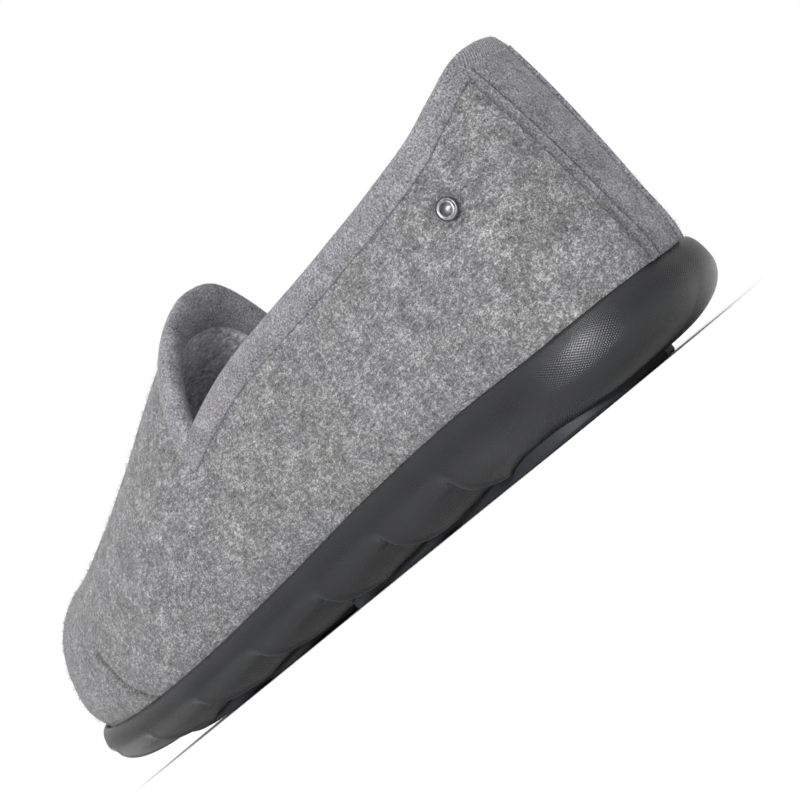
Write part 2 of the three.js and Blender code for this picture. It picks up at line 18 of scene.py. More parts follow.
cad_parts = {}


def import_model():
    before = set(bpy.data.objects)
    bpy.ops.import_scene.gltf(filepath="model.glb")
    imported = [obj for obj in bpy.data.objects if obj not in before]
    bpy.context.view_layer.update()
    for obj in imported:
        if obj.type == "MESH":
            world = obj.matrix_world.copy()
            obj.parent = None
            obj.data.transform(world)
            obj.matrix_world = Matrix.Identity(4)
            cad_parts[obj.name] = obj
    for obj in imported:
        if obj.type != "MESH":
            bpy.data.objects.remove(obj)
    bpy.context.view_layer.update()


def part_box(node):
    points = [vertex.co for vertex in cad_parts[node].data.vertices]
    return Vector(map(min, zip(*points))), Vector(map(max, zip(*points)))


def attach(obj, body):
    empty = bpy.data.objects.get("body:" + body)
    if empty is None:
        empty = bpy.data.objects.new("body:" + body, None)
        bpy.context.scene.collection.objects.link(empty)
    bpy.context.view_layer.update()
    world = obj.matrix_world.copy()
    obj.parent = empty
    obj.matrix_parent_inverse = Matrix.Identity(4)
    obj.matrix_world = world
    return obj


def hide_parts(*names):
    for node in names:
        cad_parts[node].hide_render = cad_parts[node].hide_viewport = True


Array = np.ndarray
Place = Callable[[Array, Array], Array]
Keep = Callable[[Array, Array], Array]

MM = 0.001
LOG = logging.getLogger("slipper")


class Side(Enum):
    """A side of the slipper, with the sign of its X."""

    LATERAL = 1
    MEDIAL = -1


class Grain(Enum):
    """How long the pile of a cloth is."""

    NAP = "nap"
    PILE = "pile"


@dataclass(frozen=True)
class Table:
    """A column of values against a key, read by a smooth curve through its rows."""

    keys: tuple
    values: tuple

    def read(self, at: Array) -> Array:
        """Reads the column.

        Args:
            at: keys to read at; past the ends the end values hold.

        Returns:
            The values there.
        """
        keys, values = np.asarray(self.keys, float), np.asarray(self.values, float)
        last = len(keys) - 1
        x = np.clip(np.asarray(at, float), keys[0], keys[-1])
        i = np.clip(np.searchsorted(keys, x, side="right") - 1, 0, last - 1)
        before, after = np.maximum(np.arange(last + 1) - 1, 0), np.minimum(np.arange(last + 1) + 1, last)
        slope = (values[after] - values[before]) / (keys[after] - keys[before])
        step = keys[i + 1] - keys[i]
        t = (x - keys[i]) / step
        ease = t * t * (3 - 2 * t)
        return (
            (1 - ease) * values[i]
            + ease * values[i + 1]
            + t * (1 - t) ** 2 * step * slope[i]
            - t * t * (1 - t) * step * slope[i + 1]
        )


def smoothstep(x: Array, low: float, high: float) -> Array:
    """Eases from 0 at low to 1 at high."""
    t = np.clip((np.asarray(x, float) - low) / (high - low), 0, 1)
    return t * t * (3 - 2 * t)


@dataclass
class FootForm:
    """The form that the felt is lasted over, in millimetres.

    Its own frame has the outline's middle at the origin and the floor at zero. `shift` carries
    it to the frame's place.
    """

    length: float = 292.0
    ball_width: float = 96.0
    back_height: float = 94.0
    instep_height: float = 102.0
    bed_height: float = 12.5
    tuck_rise: float = 20.0
    lip_height: float = 23.0
    toe_spring: float = 9.5
    toe_spring_from: float = 0.7
    heel_bevel: float = 2.5
    heel_bevel_to: float = 0.09
    heel_centre_at: float = 0.13
    toe_centre_at: float = 0.86
    notch_at: float = 0.49
    inset_at: float = 0.155
    heel_roundness: float = 2.15
    toe_roundness: dict = field(default_factory=lambda: {Side.LATERAL: 2.25, Side.MEDIAL: 2.4})
    toe_tip_shift: float = -0.09
    widths: dict = field(
        default_factory=lambda: {
            Side.LATERAL: Table((0.13, 0.28, 0.42, 0.55, 0.67), (0.345, 0.348, 0.38, 0.44, 0.475)),
            Side.MEDIAL: Table((0.13, 0.28, 0.42, 0.55, 0.72), (0.335, 0.295, 0.3, 0.385, 0.5)),
        }
    )
    ridge: Table = Table(
        (0.0, 0.16, 0.32, 0.46, 0.6, 0.7, 0.78, 0.83, 0.86),
        (1.48, 1.44, 1.24, 1.0, 0.85, 0.748, 0.68, 0.648, 0.637),
    )
    fullness: Table = Table(
        (0.0, 0.16, 0.32, 0.46, 0.6, 0.7, 0.78, 0.83, 0.86),
        (2.3, 2.3, 2.55, 2.55, 2.55, 2.5, 2.55, 2.6, 2.65),
    )
    bed: Table = Table((0.0, 0.3, 0.55, 0.72, 0.86, 1.0), (1.0, 0.96, 0.86, 0.84, 1.05, 1.5))
    tuck: Table = Table((0.0, 0.3, 0.7, 0.86, 1.0), (1.8, 1.6, 2.2, 5.5, 8.5))
    lip: Table = Table(
        (0.0, 0.1, 0.22, 0.36, 0.5, 0.65, 0.78, 0.88, 0.95, 1.0),
        (0.93, 0.95, 1.0, 0.96, 0.84, 0.76, 0.79, 0.9, 1.02, 1.12),
    )
    collar: Table = Table(
        (0.0, 0.02, 0.04, 0.075, 0.13, 0.22, 0.33, 0.41, 0.46, 0.5, 0.56),
        (1.0, 0.985, 0.935, 0.88, 0.852, 0.836, 0.818, 0.8, 0.77, 0.73, 0.66),
    )
    tongue: Table = Table((0.4, 0.6, 0.75, 0.9, 1.0, 1.2), (-0.02, 0.0, 0.006, 0.018, 0.033, 0.08))
    shift: Vector = field(default_factory=lambda: Vector((0.0, 0.0, 0.0)))
    samples: int = 3000

    def __post_init__(self) -> None:
        """Works out the outline once, by its own length."""
        self._outline = {side: self._walk(side) for side in Side}

    def y_at(self, at: Array) -> Array:
        """The Y at a share of the length, counted from the heel."""
        return self.length * (0.5 - np.asarray(at, float))

    def at_y(self, y: Array) -> Array:
        """The share of the length at a Y."""
        return 0.5 - np.asarray(y, float) / self.length

    def ridge_height(self, y: Array) -> Array:
        """The height of the form's ridge."""
        return self.instep_height * self.ridge.read(self.at_y(y))

    def bed_level(self, y: Array) -> Array:
        """The height of the felt's underside."""
        return self.bed_height * self.bed.read(self.at_y(y))

    def lip_level(self, y: Array) -> Array:
        """The height of the sole's top edge."""
        return self.lip_height * self.lip.read(self.at_y(y))

    def collar_level(self, y: Array) -> Array:
        """The height of the collar's edge."""
        return self.back_height * self.collar.read(self.at_y(y))

    def tongue_edge(self, z: Array) -> Array:
        """The Y of the tongue's rear edge at a height."""
        return self.y_at(self.notch_at - self.tongue.read(np.asarray(z, float) / self.instep_height))

    def rocker(self, y: Array) -> Array:
        """How far the tread has curved up from the floor."""
        toe = np.clip((self.at_y(y) - self.toe_spring_from) / (1 - self.toe_spring_from), 0, 1.2)
        heel = np.clip(1 - self.at_y(y) / self.heel_bevel_to, 0, 1.2)
        return self.toe_spring * toe**2 + self.heel_bevel * heel**2

    def _walk(self, side: Side) -> tuple:
        """Samples one side of the outline evenly by its length.

        Args:
            side: the side to walk, from the back of the heel to the tip of the toe.

        Returns:
            Points and unit tangents, one row a sample.
        """
        table = self.widths[side]
        heel_row, ball_row = table.keys[0], table.keys[-1]
        width = lambda at: side.value * self.ball_width * table.read(at)
        turn = np.linspace(0, math.pi / 2, 15)
        power = 2 / self.heel_roundness
        behind = heel_row * (1 - np.cos(turn[:-1]) ** power)
        heel = np.stack([width(heel_row) * np.sin(turn[:-1]) ** power, self.y_at(behind)], 1)
        along = np.linspace(heel_row, ball_row, 13)
        flank = np.stack([width(along), self.y_at(along)], 1)
        power = 2 / self.toe_roundness[side]
        out = np.clip(np.cos(turn[1:]), 0, 1) ** power
        out[-1] = 0
        tip = self.toe_tip_shift * self.ball_width
        ahead = ball_row + (1 - ball_row) * np.sin(turn[1:]) ** power
        toe = np.stack([tip + (width(ball_row) - tip) * out, self.y_at(ahead)], 1)
        knots = np.concatenate([heel, flank, toe])
        dense = self._spline(knots, self.samples)
        gone = np.concatenate([[0], np.cumsum(np.linalg.norm(np.diff(dense, axis=0), axis=1))])
        share = np.linspace(0, 1, self.samples)
        even = np.stack([np.interp(share, gone / gone[-1], dense[:, k]) for k in (0, 1)], 1)
        tangent = np.gradient(even, axis=0)
        tangent /= np.linalg.norm(tangent, axis=1)[:, None]
        return even, tangent

    @staticmethod
    def _spline(knots: Array, count: int) -> Array:
        """A smooth curve through knots.

        Args:
            knots: points to pass through.
            count: samples to return.

        Returns:
            Points along the curve.
        """
        last = len(knots) - 1
        t = np.linspace(0, last, count)
        i = np.clip(t.astype(int), 0, last - 1)
        w = (t - i)[:, None]
        p1, p2 = knots[i], knots[i + 1]
        m1 = (p2 - knots[np.maximum(i - 1, 0)]) * 0.5
        m2 = (knots[np.minimum(i + 2, last)] - p1) * 0.5
        return (
            (2 * w**3 - 3 * w**2 + 1) * p1
            + (w**3 - 2 * w**2 + w) * m1
            + (3 * w**2 - 2 * w**3) * p2
            + (w**3 - w**2) * m2
        )

    def _outline_raw(self, side: Side, share: Array) -> tuple:
        """Points and tangents of one side at shares of its length."""
        points, tangents = self._outline[side]
        x = np.clip(share, 0, 1) * (self.samples - 1)
        grid = np.arange(self.samples)
        read = lambda table: np.stack([np.interp(x, grid, table[:, k]) for k in (0, 1)], -1)
        return read(points), read(tangents)

    def outline(self, sign: Array, share: Array, offset: Array) -> Array:
        """Points of the outline, moved out by an offset.

        Args:
            sign: +1 on the lateral side and -1 on the medial side.
            share: share of that side's length, from the heel.
            offset: how far outwards.

        Returns:
            Plan points, one row each.
        """
        offset = np.broadcast_to(offset, np.shape(share))[..., None]
        found = {}
        for side in Side:
            point, tangent = self._outline_raw(side, share)
            outward = np.stack([-tangent[..., 1], tangent[..., 0]], -1) * side.value
            outward = np.where((share <= 0)[..., None], np.array([0.0, 1.0]), outward)
            outward = np.where((share >= 1)[..., None], np.array([0.0, -1.0]), outward)
            found[side] = point + outward * offset
        return np.where((sign > 0)[..., None], found[Side.LATERAL], found[Side.MEDIAL])

    def middle(self, share: Array) -> Array:
        """The point of the middle line that both sides lean in to."""
        lateral, medial = (self._outline_raw(side, share)[0] for side in (Side.LATERAL, Side.MEDIAL))
        y = (lateral[..., 1] + medial[..., 1]) / 2
        y = np.clip(y, self.y_at(self.toe_centre_at), self.y_at(self.heel_centre_at))
        at = self.at_y(y)
        x = (self.widths[Side.LATERAL].read(at) - self.widths[Side.MEDIAL].read(at)) * self.ball_width / 2
        return np.stack([x, y], -1)

    def point(self, sign: Array, share: Array, climb: Array, offset: Array) -> Array:
        """Points of the form.

        Args:
            sign: +1 on the lateral side and -1 on the medial side.
            share: share of that side's length, from the heel.
            climb: share of the way from the underside up to the ridge.
            offset: how far the form is grown.

        Returns:
            Points in space, one row each.
        """
        sign, share, climb, offset = np.broadcast_arrays(sign, share, climb, offset)
        middle = self.middle(share)
        full = self.fullness.read(self.at_y(middle[..., 1]))
        spread = np.clip(1 - climb**full, 0, 1) ** (1 / full)
        edge = self.outline(sign, share, offset)
        base = self.bed_level(middle[..., 1] + (edge[..., 1] - middle[..., 1]) * spread)
        rise = (self.ridge_height(middle[..., 1]) + offset - base) * climb
        drawn = np.clip(1 - rise / self.tuck_rise, 0, None) ** 2 * self.tuck.read(share)
        tucked = self.outline(sign, share, offset - drawn)
        plan = middle + (tucked - middle) * spread[..., None]
        return np.concatenate([plan, (self.bed_level(plan[..., 1]) + rise)[..., None]], -1)

    def relief(self, points: Array) -> Array:
        """How far the felt stands out from the form, by its own slackness.

        Args:
            points: places on the form.

        Returns:
            Millimetres outwards.
        """
        x, y, z = points[..., 0], points[..., 1], points[..., 2]
        slack = 0.4 * np.sin(y / 17.0 + z / 23.0 + 1.2) * np.sin(z / 19.0 - x / 41.0)
        slack += 0.22 * np.sin(y / 9.5 - z / 12.0) * np.sin(x / 13.0 + z / 31.0)
        over_lip = np.exp(-(((z - self.lip_level(y) - 6.0) / 6.0) ** 2)) * 0.8
        below = 1 - smoothstep(z, self.lip_level(y) - 2.0, self.lip_level(y) + 3.0)
        return (slack * smoothstep(z, 24.0, 40.0) + over_lip) * (1 - below)

    def skin(self, sign: Array, share: Array, climb: Array, offset: Array, wall: float = 3.0) -> Array:
        """Points of the form as the felt really lies, with its relief.

        Args:
            sign: +1 on the lateral side and -1 on the medial side.
            share: share of that side's length, from the heel.
            climb: share of the way up to the ridge.
            offset: how far from the form.
            wall: depth at which the relief has died away.

        Returns:
            Points in space, one row each.
        """
        sign, share, climb, offset = np.broadcast_arrays(sign, share, climb, offset)
        swell = self.relief(self.point(sign, share, climb, offset * 0.0))
        swell *= np.clip(1 + offset / wall, 0, 1) * np.sin(np.pi * np.clip(share, 0, 1)) ** 0.3
        return self.point(sign, share, climb, offset + swell)

    def climb_down_from(self, sign: Array, share: Array, offset: Array, depth: Array) -> Array:
        """The climb at which the form lies a depth below the collar's edge."""
        sign, share, offset, depth = np.broadcast_arrays(sign, share, offset, depth)
        low, high = np.zeros(share.shape), np.full(share.shape, 0.999)
        for _ in range(36):
            mid = (low + high) / 2
            p = self.point(sign, share, mid, offset)
            above = p[..., 2] > self.collar_level(p[..., 1]) - depth
            high, low = np.where(above, mid, high), np.where(above, low, mid)
        return (low + high) / 2

    def climb_to(self, sign: Array, share: Array, offset: Array, level: Array) -> Array:
        """The climb at which the form reaches a height."""
        sign, share, offset, level = np.broadcast_arrays(sign, share, offset, level)
        low, high = np.zeros(share.shape), np.full(share.shape, 0.999)
        for _ in range(36):
            mid = (low + high) / 2
            above = self.point(sign, share, mid, offset)[..., 2] > level
            high, low = np.where(above, mid, high), np.where(above, low, mid)
        return (low + high) / 2

    def share_ahead_of_tongue(self, sign: Array, climb: Array, offset: Array, forward: Array) -> Array:
        """The share at which the form lies a distance ahead of the tongue's edge."""
        sign, climb, offset, forward = np.broadcast_arrays(sign, climb, offset, forward)
        low, high = np.full(climb.shape, 0.2), np.full(climb.shape, 0.85)
        for _ in range(36):
            mid = (low + high) / 2
            p = self.point(sign, mid, climb, offset)
            ahead = p[..., 1] < self.tongue_edge(p[..., 2]) - forward
            high, low = np.where(ahead, mid, high), np.where(ahead, low, mid)
        return (low + high) / 2

    def back_stop(self, x: Array, z: Array, offset: Array) -> Array:
        """Points on the back of the felt at a distance from its middle line and a height."""
        sign = np.where(np.asarray(x) >= 0, 1.0, -1.0)
        share = np.full(np.shape(x), 0.02)
        climb = np.full(np.shape(x), 0.4)
        for _ in range(5):
            climb = self.climb_to(sign, share, offset, z)
            low, high = np.zeros(np.shape(x)), np.full(np.shape(x), 0.16)
            for _ in range(30):
                mid = (low + high) / 2
                past = np.abs(self.point(sign, mid, climb, offset)[..., 0]) > np.abs(x)
                high, low = np.where(past, mid, high), np.where(past, low, mid)
            share = (low + high) / 2
        return self.skin(sign, share, climb, offset)

    def placed(self, points: Array) -> Array:
        """Carries points of the form to metres in the frame."""
        return (points + np.array(self.shift)) * MM


def smooth_all(bm: bmesh.types.BMesh) -> None:
    """Shades every face smoothly."""
    for face in bm.faces:
        face.smooth = True


def grid_mesh(
    columns: int,
    rows: int,
    place: Place,
    slot: Optional[Place] = None,
    skin: Optional[Place] = None,
    crease_and_shade: Optional[Place] = None,
) -> bmesh.types.BMesh:
    """A grid laid over a surface, whose coinciding edges are then sewn.

    Args:
        columns: faces across, along the first parameter.
        rows: faces along the second parameter.
        place: gives points in metres for parameters from 0 to 1.
        slot: gives each face's material for parameters from 0 to 1.
        skin: gives the skin's own plane, in metres, for parameters from 0 to 1.
        crease_and_shade: gives how creased each place is, and so how much painted shade its colour takes,
            for parameters from 0 to 1.

    Returns:
        The mesh.
    """
    bm = bmesh.new()
    bmesh.ops.create_grid(bm, x_segments=columns, y_segments=rows, size=1.0)
    steps = np.array([columns, rows])
    plan = np.round((np.array([vert.co[:2] for vert in bm.verts]) * 0.5 + 0.5) * steps) / steps
    bm.verts.index_update()
    if skin is not None:
        layer = bm.loops.layers.uv.new("skin")
        flat = skin(plan[:, 0], plan[:, 1])
        for face in bm.faces:
            for loop in face.loops:
                loop[layer].uv = flat[loop.vert.index]
    if crease_and_shade is not None:
        # The mesh carries painted shade in this layer; the cloth finishes darken their colour by it.
        layer = bm.verts.layers.float.new("crease_and_shade")
        for vert, weight in zip(bm.verts, crease_and_shade(plan[:, 0], plan[:, 1])):
            vert[layer] = float(weight)
    smooth_all(bm)
    if slot is not None:
        centres = np.array([plan[[vert.index for vert in face.verts]].mean(0) for face in bm.faces])
        for face, kind in zip(bm.faces, slot(centres[:, 0], centres[:, 1])):
            face.material_index = int(kind)
    for vert, point in zip(bm.verts, place(plan[:, 0], plan[:, 1])):
        vert.co = point
    bmesh.ops.remove_doubles(bm, verts=bm.verts, dist=1e-5)
    bmesh.ops.dissolve_degenerate(bm, edges=bm.edges, dist=1e-6)
    bmesh.ops.recalc_face_normals(bm, faces=bm.faces)
    return bm


def spun(profile: Sequence[tuple], sides: int, unit: float) -> bmesh.types.BMesh:
    """Turns a profile about Z.

    Args:
        profile: pairs of radius and height in millimetres, from the axis out and back to it.
        sides: steps round the axis.
        unit: metres in one unit of the radius.

    Returns:
        The mesh, not yet merged at its poles.
    """
    bm = bmesh.new()
    verts = [bm.verts.new((radius * unit, 0, height * MM)) for radius, height in profile]
    edges = [bm.edges.new(pair) for pair in zip(verts, verts[1:])]
    axis = {"axis": (0, 0, 1), "cent": (0, 0, 0), "angle": 2 * math.pi}
    bmesh.ops.spin(bm, geom=verts + edges, steps=sides, use_merge=True, **axis)
    return bm


def close_ends(bm: bmesh.types.BMesh) -> None:
    """Fills every open end and turns the faces outwards."""
    bmesh.ops.holes_fill(bm, edges=[e for e in bm.edges if e.is_boundary], sides=0)
    bmesh.ops.recalc_face_normals(bm, faces=bm.faces)


def to_object(
    name: str, bm: bmesh.types.BMesh, materials: Sequence[bpy.types.Material]
) -> bpy.types.Object:
    """Makes an object at the origin from a mesh in the frame's place.

    Args:
        name: the piece's name.
        bm: its mesh, which is freed.
        materials: its material slots, in order.

    Returns:
        The object, linked to the scene.
    """
    mesh = bpy.data.meshes.new(name)
    bm.to_mesh(mesh)
    bm.free()
    for material in materials:
        mesh.materials.append(material)
    obj = bpy.data.objects.new(name, mesh)
    bpy.context.scene.collection.objects.link(obj)
    return obj


def apply_modifiers(obj: bpy.types.Object) -> None:
    """Replaces an object's mesh by what its modifiers make of it."""
    graph = bpy.context.evaluated_depsgraph_get()
    graph.update()
    result = obj.evaluated_get(graph)
    made = bpy.data.meshes.new_from_object(result, preserve_all_data_layers=True, depsgraph=graph)
    obj.modifiers.clear()
    obj.data = made


def cut_away(obj: bpy.types.Object, cutter: bmesh.types.BMesh) -> None:
    """Cuts a closed body out of an object.

    Args:
        obj: the object, which keeps the rest.
        cutter: the body to take out, which is freed.
    """
    tool = to_object("cutter", cutter, [])
    cut = obj.modifiers.new("cut", "BOOLEAN")
    cut.operation = "DIFFERENCE"
    cut.solver = "EXACT"
    cut.object = tool
    apply_modifiers(obj)
    bpy.data.objects.remove(tool)


def rounded(obj: bpy.types.Object, levels: int) -> None:
    """Rounds a piece by subdivision.

    Args:
        obj: the piece.
        levels: how many times.
    """
    smooth = obj.modifiers.new("round", "SUBSURF")
    smooth.levels = levels
    smooth.render_levels = levels


@dataclass
class NodeTree:
    """A short way to write a material's nodes."""

    material: bpy.types.Material

    def __post_init__(self) -> None:
        """Clears the tree and adds the shader and the output."""
        self.material.use_nodes = True
        self.nodes = self.material.node_tree.nodes
        self.links = self.material.node_tree.links
        self.nodes.clear()
        self.shader = self.nodes.new("ShaderNodeBsdfPrincipled")
        self.out = self.nodes.new("ShaderNodeOutputMaterial")
        self.links.new(self.shader.outputs["BSDF"], self.out.inputs["Surface"])
        self.place = self.nodes.new("ShaderNodeTexCoord")

    def mapped(
        self,
        scale: Sequence[float],
        turn: Sequence[float] = (0, 0, 0),
        place: Optional[bpy.types.NodeSocket] = None,
    ) -> bpy.types.NodeSocket:
        """Object coordinates, or the given ones, scaled and turned."""
        mapping = self.nodes.new("ShaderNodeMapping")
        mapping.inputs["Scale"].default_value = tuple(scale)
        mapping.inputs["Rotation"].default_value = tuple(turn)
        self.links.new(place or self.place.outputs["Object"], mapping.inputs["Vector"])
        return mapping.outputs["Vector"]

    def sum(self, parts: Sequence[tuple]) -> bpy.types.NodeSocket:
        """Adds up pairs of a value and its share."""
        total = self.math("MULTIPLY", *parts[0])
        for value, share in parts[1:]:
            total = self.math("MULTIPLY_ADD", value, share, total)
        return total

    def attribute(self, name: str) -> bpy.types.NodeSocket:
        """A number that the mesh carries."""
        node = self.nodes.new("ShaderNodeAttribute")
        node.attribute_name = name
        return node.outputs["Fac"]

    def mix(self, share: bpy.types.NodeSocket, a: object, b: object) -> bpy.types.NodeSocket:
        """Blends two colours."""
        node = self.nodes.new("ShaderNodeMix")
        node.data_type = "RGBA"
        node.clamp_factor = True
        self.links.new(share, node.inputs["Factor"])
        for name, value in (("A", a), ("B", b)):
            socket = [i for i in node.inputs if i.name == name and i.type == "RGBA"][0]
            if isinstance(value, bpy.types.NodeSocket):
                self.links.new(value, socket)
            else:
                socket.default_value = value
        return [o for o in node.outputs if o.type == "RGBA"][0]

    def noise(
        self,
        vector: bpy.types.NodeSocket,
        scale: float,
        detail: float = 2.0,
        roughness: float = 0.5,
        twist: float = 0.0,
    ) -> bpy.types.NodeSocket:
        """Soft noise, from 0 to 1."""
        node = self.nodes.new("ShaderNodeTexNoise")
        node.inputs["Scale"].default_value = scale
        node.inputs["Detail"].default_value = detail
        node.inputs["Roughness"].default_value = roughness
        node.inputs["Distortion"].default_value = twist
        self.links.new(vector, node.inputs["Vector"])
        return node.outputs["Fac"]

    def waves(self, vector: bpy.types.NodeSocket, scale: float, twist: float = 0.0) -> bpy.types.NodeSocket:
        """Even waves along X, from 0 to 1."""
        node = self.nodes.new("ShaderNodeTexWave")
        node.wave_type = "BANDS"
        node.bands_direction = "X"
        node.inputs["Scale"].default_value = scale
        node.inputs["Distortion"].default_value = twist
        node.inputs["Detail"].default_value = 1.0
        self.links.new(vector, node.inputs["Vector"])
        return node.outputs["Fac"]

    def math(self, kind: str, a: object, b: object = 0.0, c: object = 0.0) -> bpy.types.NodeSocket:
        """A sum on sockets and numbers."""
        node = self.nodes.new("ShaderNodeMath")
        node.operation = kind
        for i, value in enumerate((a, b, c)):
            if isinstance(value, bpy.types.NodeSocket):
                self.links.new(value, node.inputs[i])
            else:
                node.inputs[i].default_value = value
        return node.outputs[0]

    def ramp(self, value: bpy.types.NodeSocket, stops: Sequence[tuple]) -> bpy.types.NodeSocket:
        """A colour from a value.

        Args:
            value: from 0 to 1.
            stops: pairs of place and linear colour.

        Returns:
            The colour.
        """
        node = self.nodes.new("ShaderNodeValToRGB")
        elements = node.color_ramp.elements
        while len(elements) < len(stops):
            elements.new(0.5)
        for element, (place, colour) in zip(elements, stops):
            element.position = place
            element.color = (*colour, 1.0)
        self.links.new(value, node.inputs["Fac"])
        return node.outputs["Color"]

    def bump(self, height: bpy.types.NodeSocket, depth: float, strength: float = 1.0) -> None:
        """Adds relief under what relief there is already.

        Args:
            height: from 0 to 1.
            depth: the relief's full depth, in metres.
            strength: how much of it shows.
        """
        node = self.nodes.new("ShaderNodeBump")
        node.inputs["Distance"].default_value = depth
        node.inputs["Strength"].default_value = strength
        self.links.new(height, node.inputs["Height"])
        normal = self.shader.inputs["Normal"]
        if normal.is_linked:
            self.links.new(normal.links[0].from_socket, node.inputs["Normal"])
        self.links.new(node.outputs["Normal"], normal)

    def colour(self, socket: bpy.types.NodeSocket) -> None:
        """Joins the base colour."""
        self.links.new(socket, self.shader.inputs["Base Color"])


def shade(level: float, tint: Sequence[float] = (1.0, 1.0, 1.0)) -> tuple:
    """A linear colour from a display level of 0 to 255 and a tint."""
    c = level / 255
    linear = c / 12.92 if c <= 0.04045 else ((c + 0.055) / 1.055) ** 2.4
    return tuple(linear * t for t in tint)


@dataclass(frozen=True)
class FeltFinish:
    """Mottled wool felt: fine light and dark fibres over a soft cloud, here warmer and there cooler."""

    name: str = "wool_felt"
    dark: float = 23.0
    middle: float = 99.0
    light: float = 176.0
    grain: float = 900.0
    relief: float = 0.0005

    def make(self) -> bpy.types.Material:
        """Makes the material."""
        tree = NodeTree(bpy.data.materials.new(self.name))
        plain = tree.mapped((1, 1, 1))
        fine = tree.noise(plain, self.grain, 2.5, 0.6, 0.6)
        dust = tree.noise(plain, self.grain * 2.7, 1.5, 0.6, 0.3)
        strands = [
            tree.noise(tree.mapped((1.0, 0.28, 1.0), (0.5, 0.3, turn)), self.grain * 1.6, 1.5, 0.5, 1.2)
            for turn in (0.4, 1.9)
        ]
        cloud = tree.noise(plain, self.grain * 0.2, 2.5, 0.6, 0.4)
        mixed = tree.sum(((fine, 0.26), (dust, 0.3), (cloud, 0.16), (strands[0], 0.14), (strands[1], 0.14)))
        hue = tree.noise(plain, 42.0, 3.0, 0.6, 0.5)
        levels = ((0.33, self.dark), (0.5, self.middle), (0.67, self.light))
        tones = [
            tree.ramp(mixed, [(place, shade(level, tint)) for place, level in levels])
            for tint in ((0.995, 0.995, 0.985), (0.985, 0.975, 1.035))
        ]
        blend = tree.math("MULTIPLY_ADD", hue, 3.2, -1.1)
        colour = tree.mix(blend, tones[0], tones[1])
        # Painted shade: the felt's colour is darkened towards a dark grey by the layer, along the sunk seam
        # line at the side of the toe and round the stud's dimple.
        crease_and_shade = tree.attribute("crease_and_shade")
        colour = tree.mix(tree.math("MULTIPLY", crease_and_shade, 0.85), colour, (*shade(30.0), 1.0))
        tree.colour(colour)
        tree.shader.inputs["Roughness"].default_value = 0.95
        tree.shader.inputs["Specular IOR Level"].default_value = 0.12
        tree.shader.inputs["Sheen Weight"].default_value = 0.18
        tree.shader.inputs["Sheen Roughness"].default_value = 0.5
        tree.bump(mixed, self.relief * 1.6, 0.8)
        tree.bump(fine, self.relief, 0.7)
        return tree.material


@dataclass(frozen=True)
class VelourFinish:
    """Short-piled velour, with a faint change of shade where the pile leans."""

    name: str
    level: float
    tint: tuple = (0.985, 0.97, 1.04)
    grain: Grain = Grain.NAP
    relief: float = 0.00028

    def make(self) -> bpy.types.Material:
        """Makes the material."""
        tree = NodeTree(bpy.data.materials.new(self.name))
        scale = 1900.0 if self.grain is Grain.NAP else 620.0
        plain = tree.mapped((1, 1, 1))
        tufts = tree.noise(plain, scale, 2.0, 0.6, 0.3)
        lean = tree.noise(plain, 150.0, 3.0, 0.6, 0.8)
        mixed = tree.sum(((tufts, 0.72), (lean, 0.28)))
        spread = 38.0 if self.grain is Grain.NAP else 46.0
        stops = [
            (0.34, shade(self.level - spread, self.tint)),
            (0.5, shade(self.level, self.tint)),
            (0.66, shade(self.level + spread, self.tint)),
        ]
        colour = tree.ramp(mixed, stops)
        # Painted shade: the velour is darkened by the layer along the binding's fold edge and beside the
        # strap's welts.
        crease_and_shade = tree.math("MULTIPLY", tree.attribute("crease_and_shade"), 0.7)
        tree.colour(tree.mix(crease_and_shade, colour, (*shade(34.0), 1.0)))
        tree.shader.inputs["Roughness"].default_value = 0.9
        tree.shader.inputs["Specular IOR Level"].default_value = 0.1
        tree.shader.inputs["Sheen Weight"].default_value = 0.3
        tree.shader.inputs["Sheen Roughness"].default_value = 0.35
        tree.bump(tufts, self.relief if self.grain is Grain.NAP else 0.0011, 0.9)
        return tree.material


@dataclass(frozen=True)
class KnitFinish:
    """Fine ribbed knit, its ribs slanting across the heel's back."""

    name: str = "rib_knit"
    level: float = 98.0
    pitch: float = 0.0008
    lean: float = 0.5

    def make(self) -> bpy.types.Material:
        """Makes the material."""
        tree = NodeTree(bpy.data.materials.new(self.name))
        ribs = tree.waves(tree.mapped((1, 1, 1), (0, self.lean, 0)), 2 * math.pi / (20.0 * self.pitch), 0.8)
        grain = tree.noise(tree.mapped((1, 1, 1)), 1900.0, 2.0)
        mixed = tree.sum(((ribs, 0.2), (grain, 0.8)))
        tint = (0.985, 0.97, 1.04)
        stops = [(0.3, shade(self.level - 44, tint)), (0.7, shade(self.level + 36, tint))]
        colour = tree.ramp(mixed, stops)
        # Painted shade: the knit is darkened by the layer along the binding's fold edge.
        crease_and_shade = tree.math("MULTIPLY", tree.attribute("crease_and_shade"), 0.8)
        tree.colour(tree.mix(crease_and_shade, colour, (*shade(34.0), 1.0)))
        tree.shader.inputs["Roughness"].default_value = 0.9
        tree.shader.inputs["Sheen Weight"].default_value = 0.2
        tree.bump(ribs, 0.00018, 0.8)
        tree.bump(grain, 0.00025, 0.8)
        return tree.material


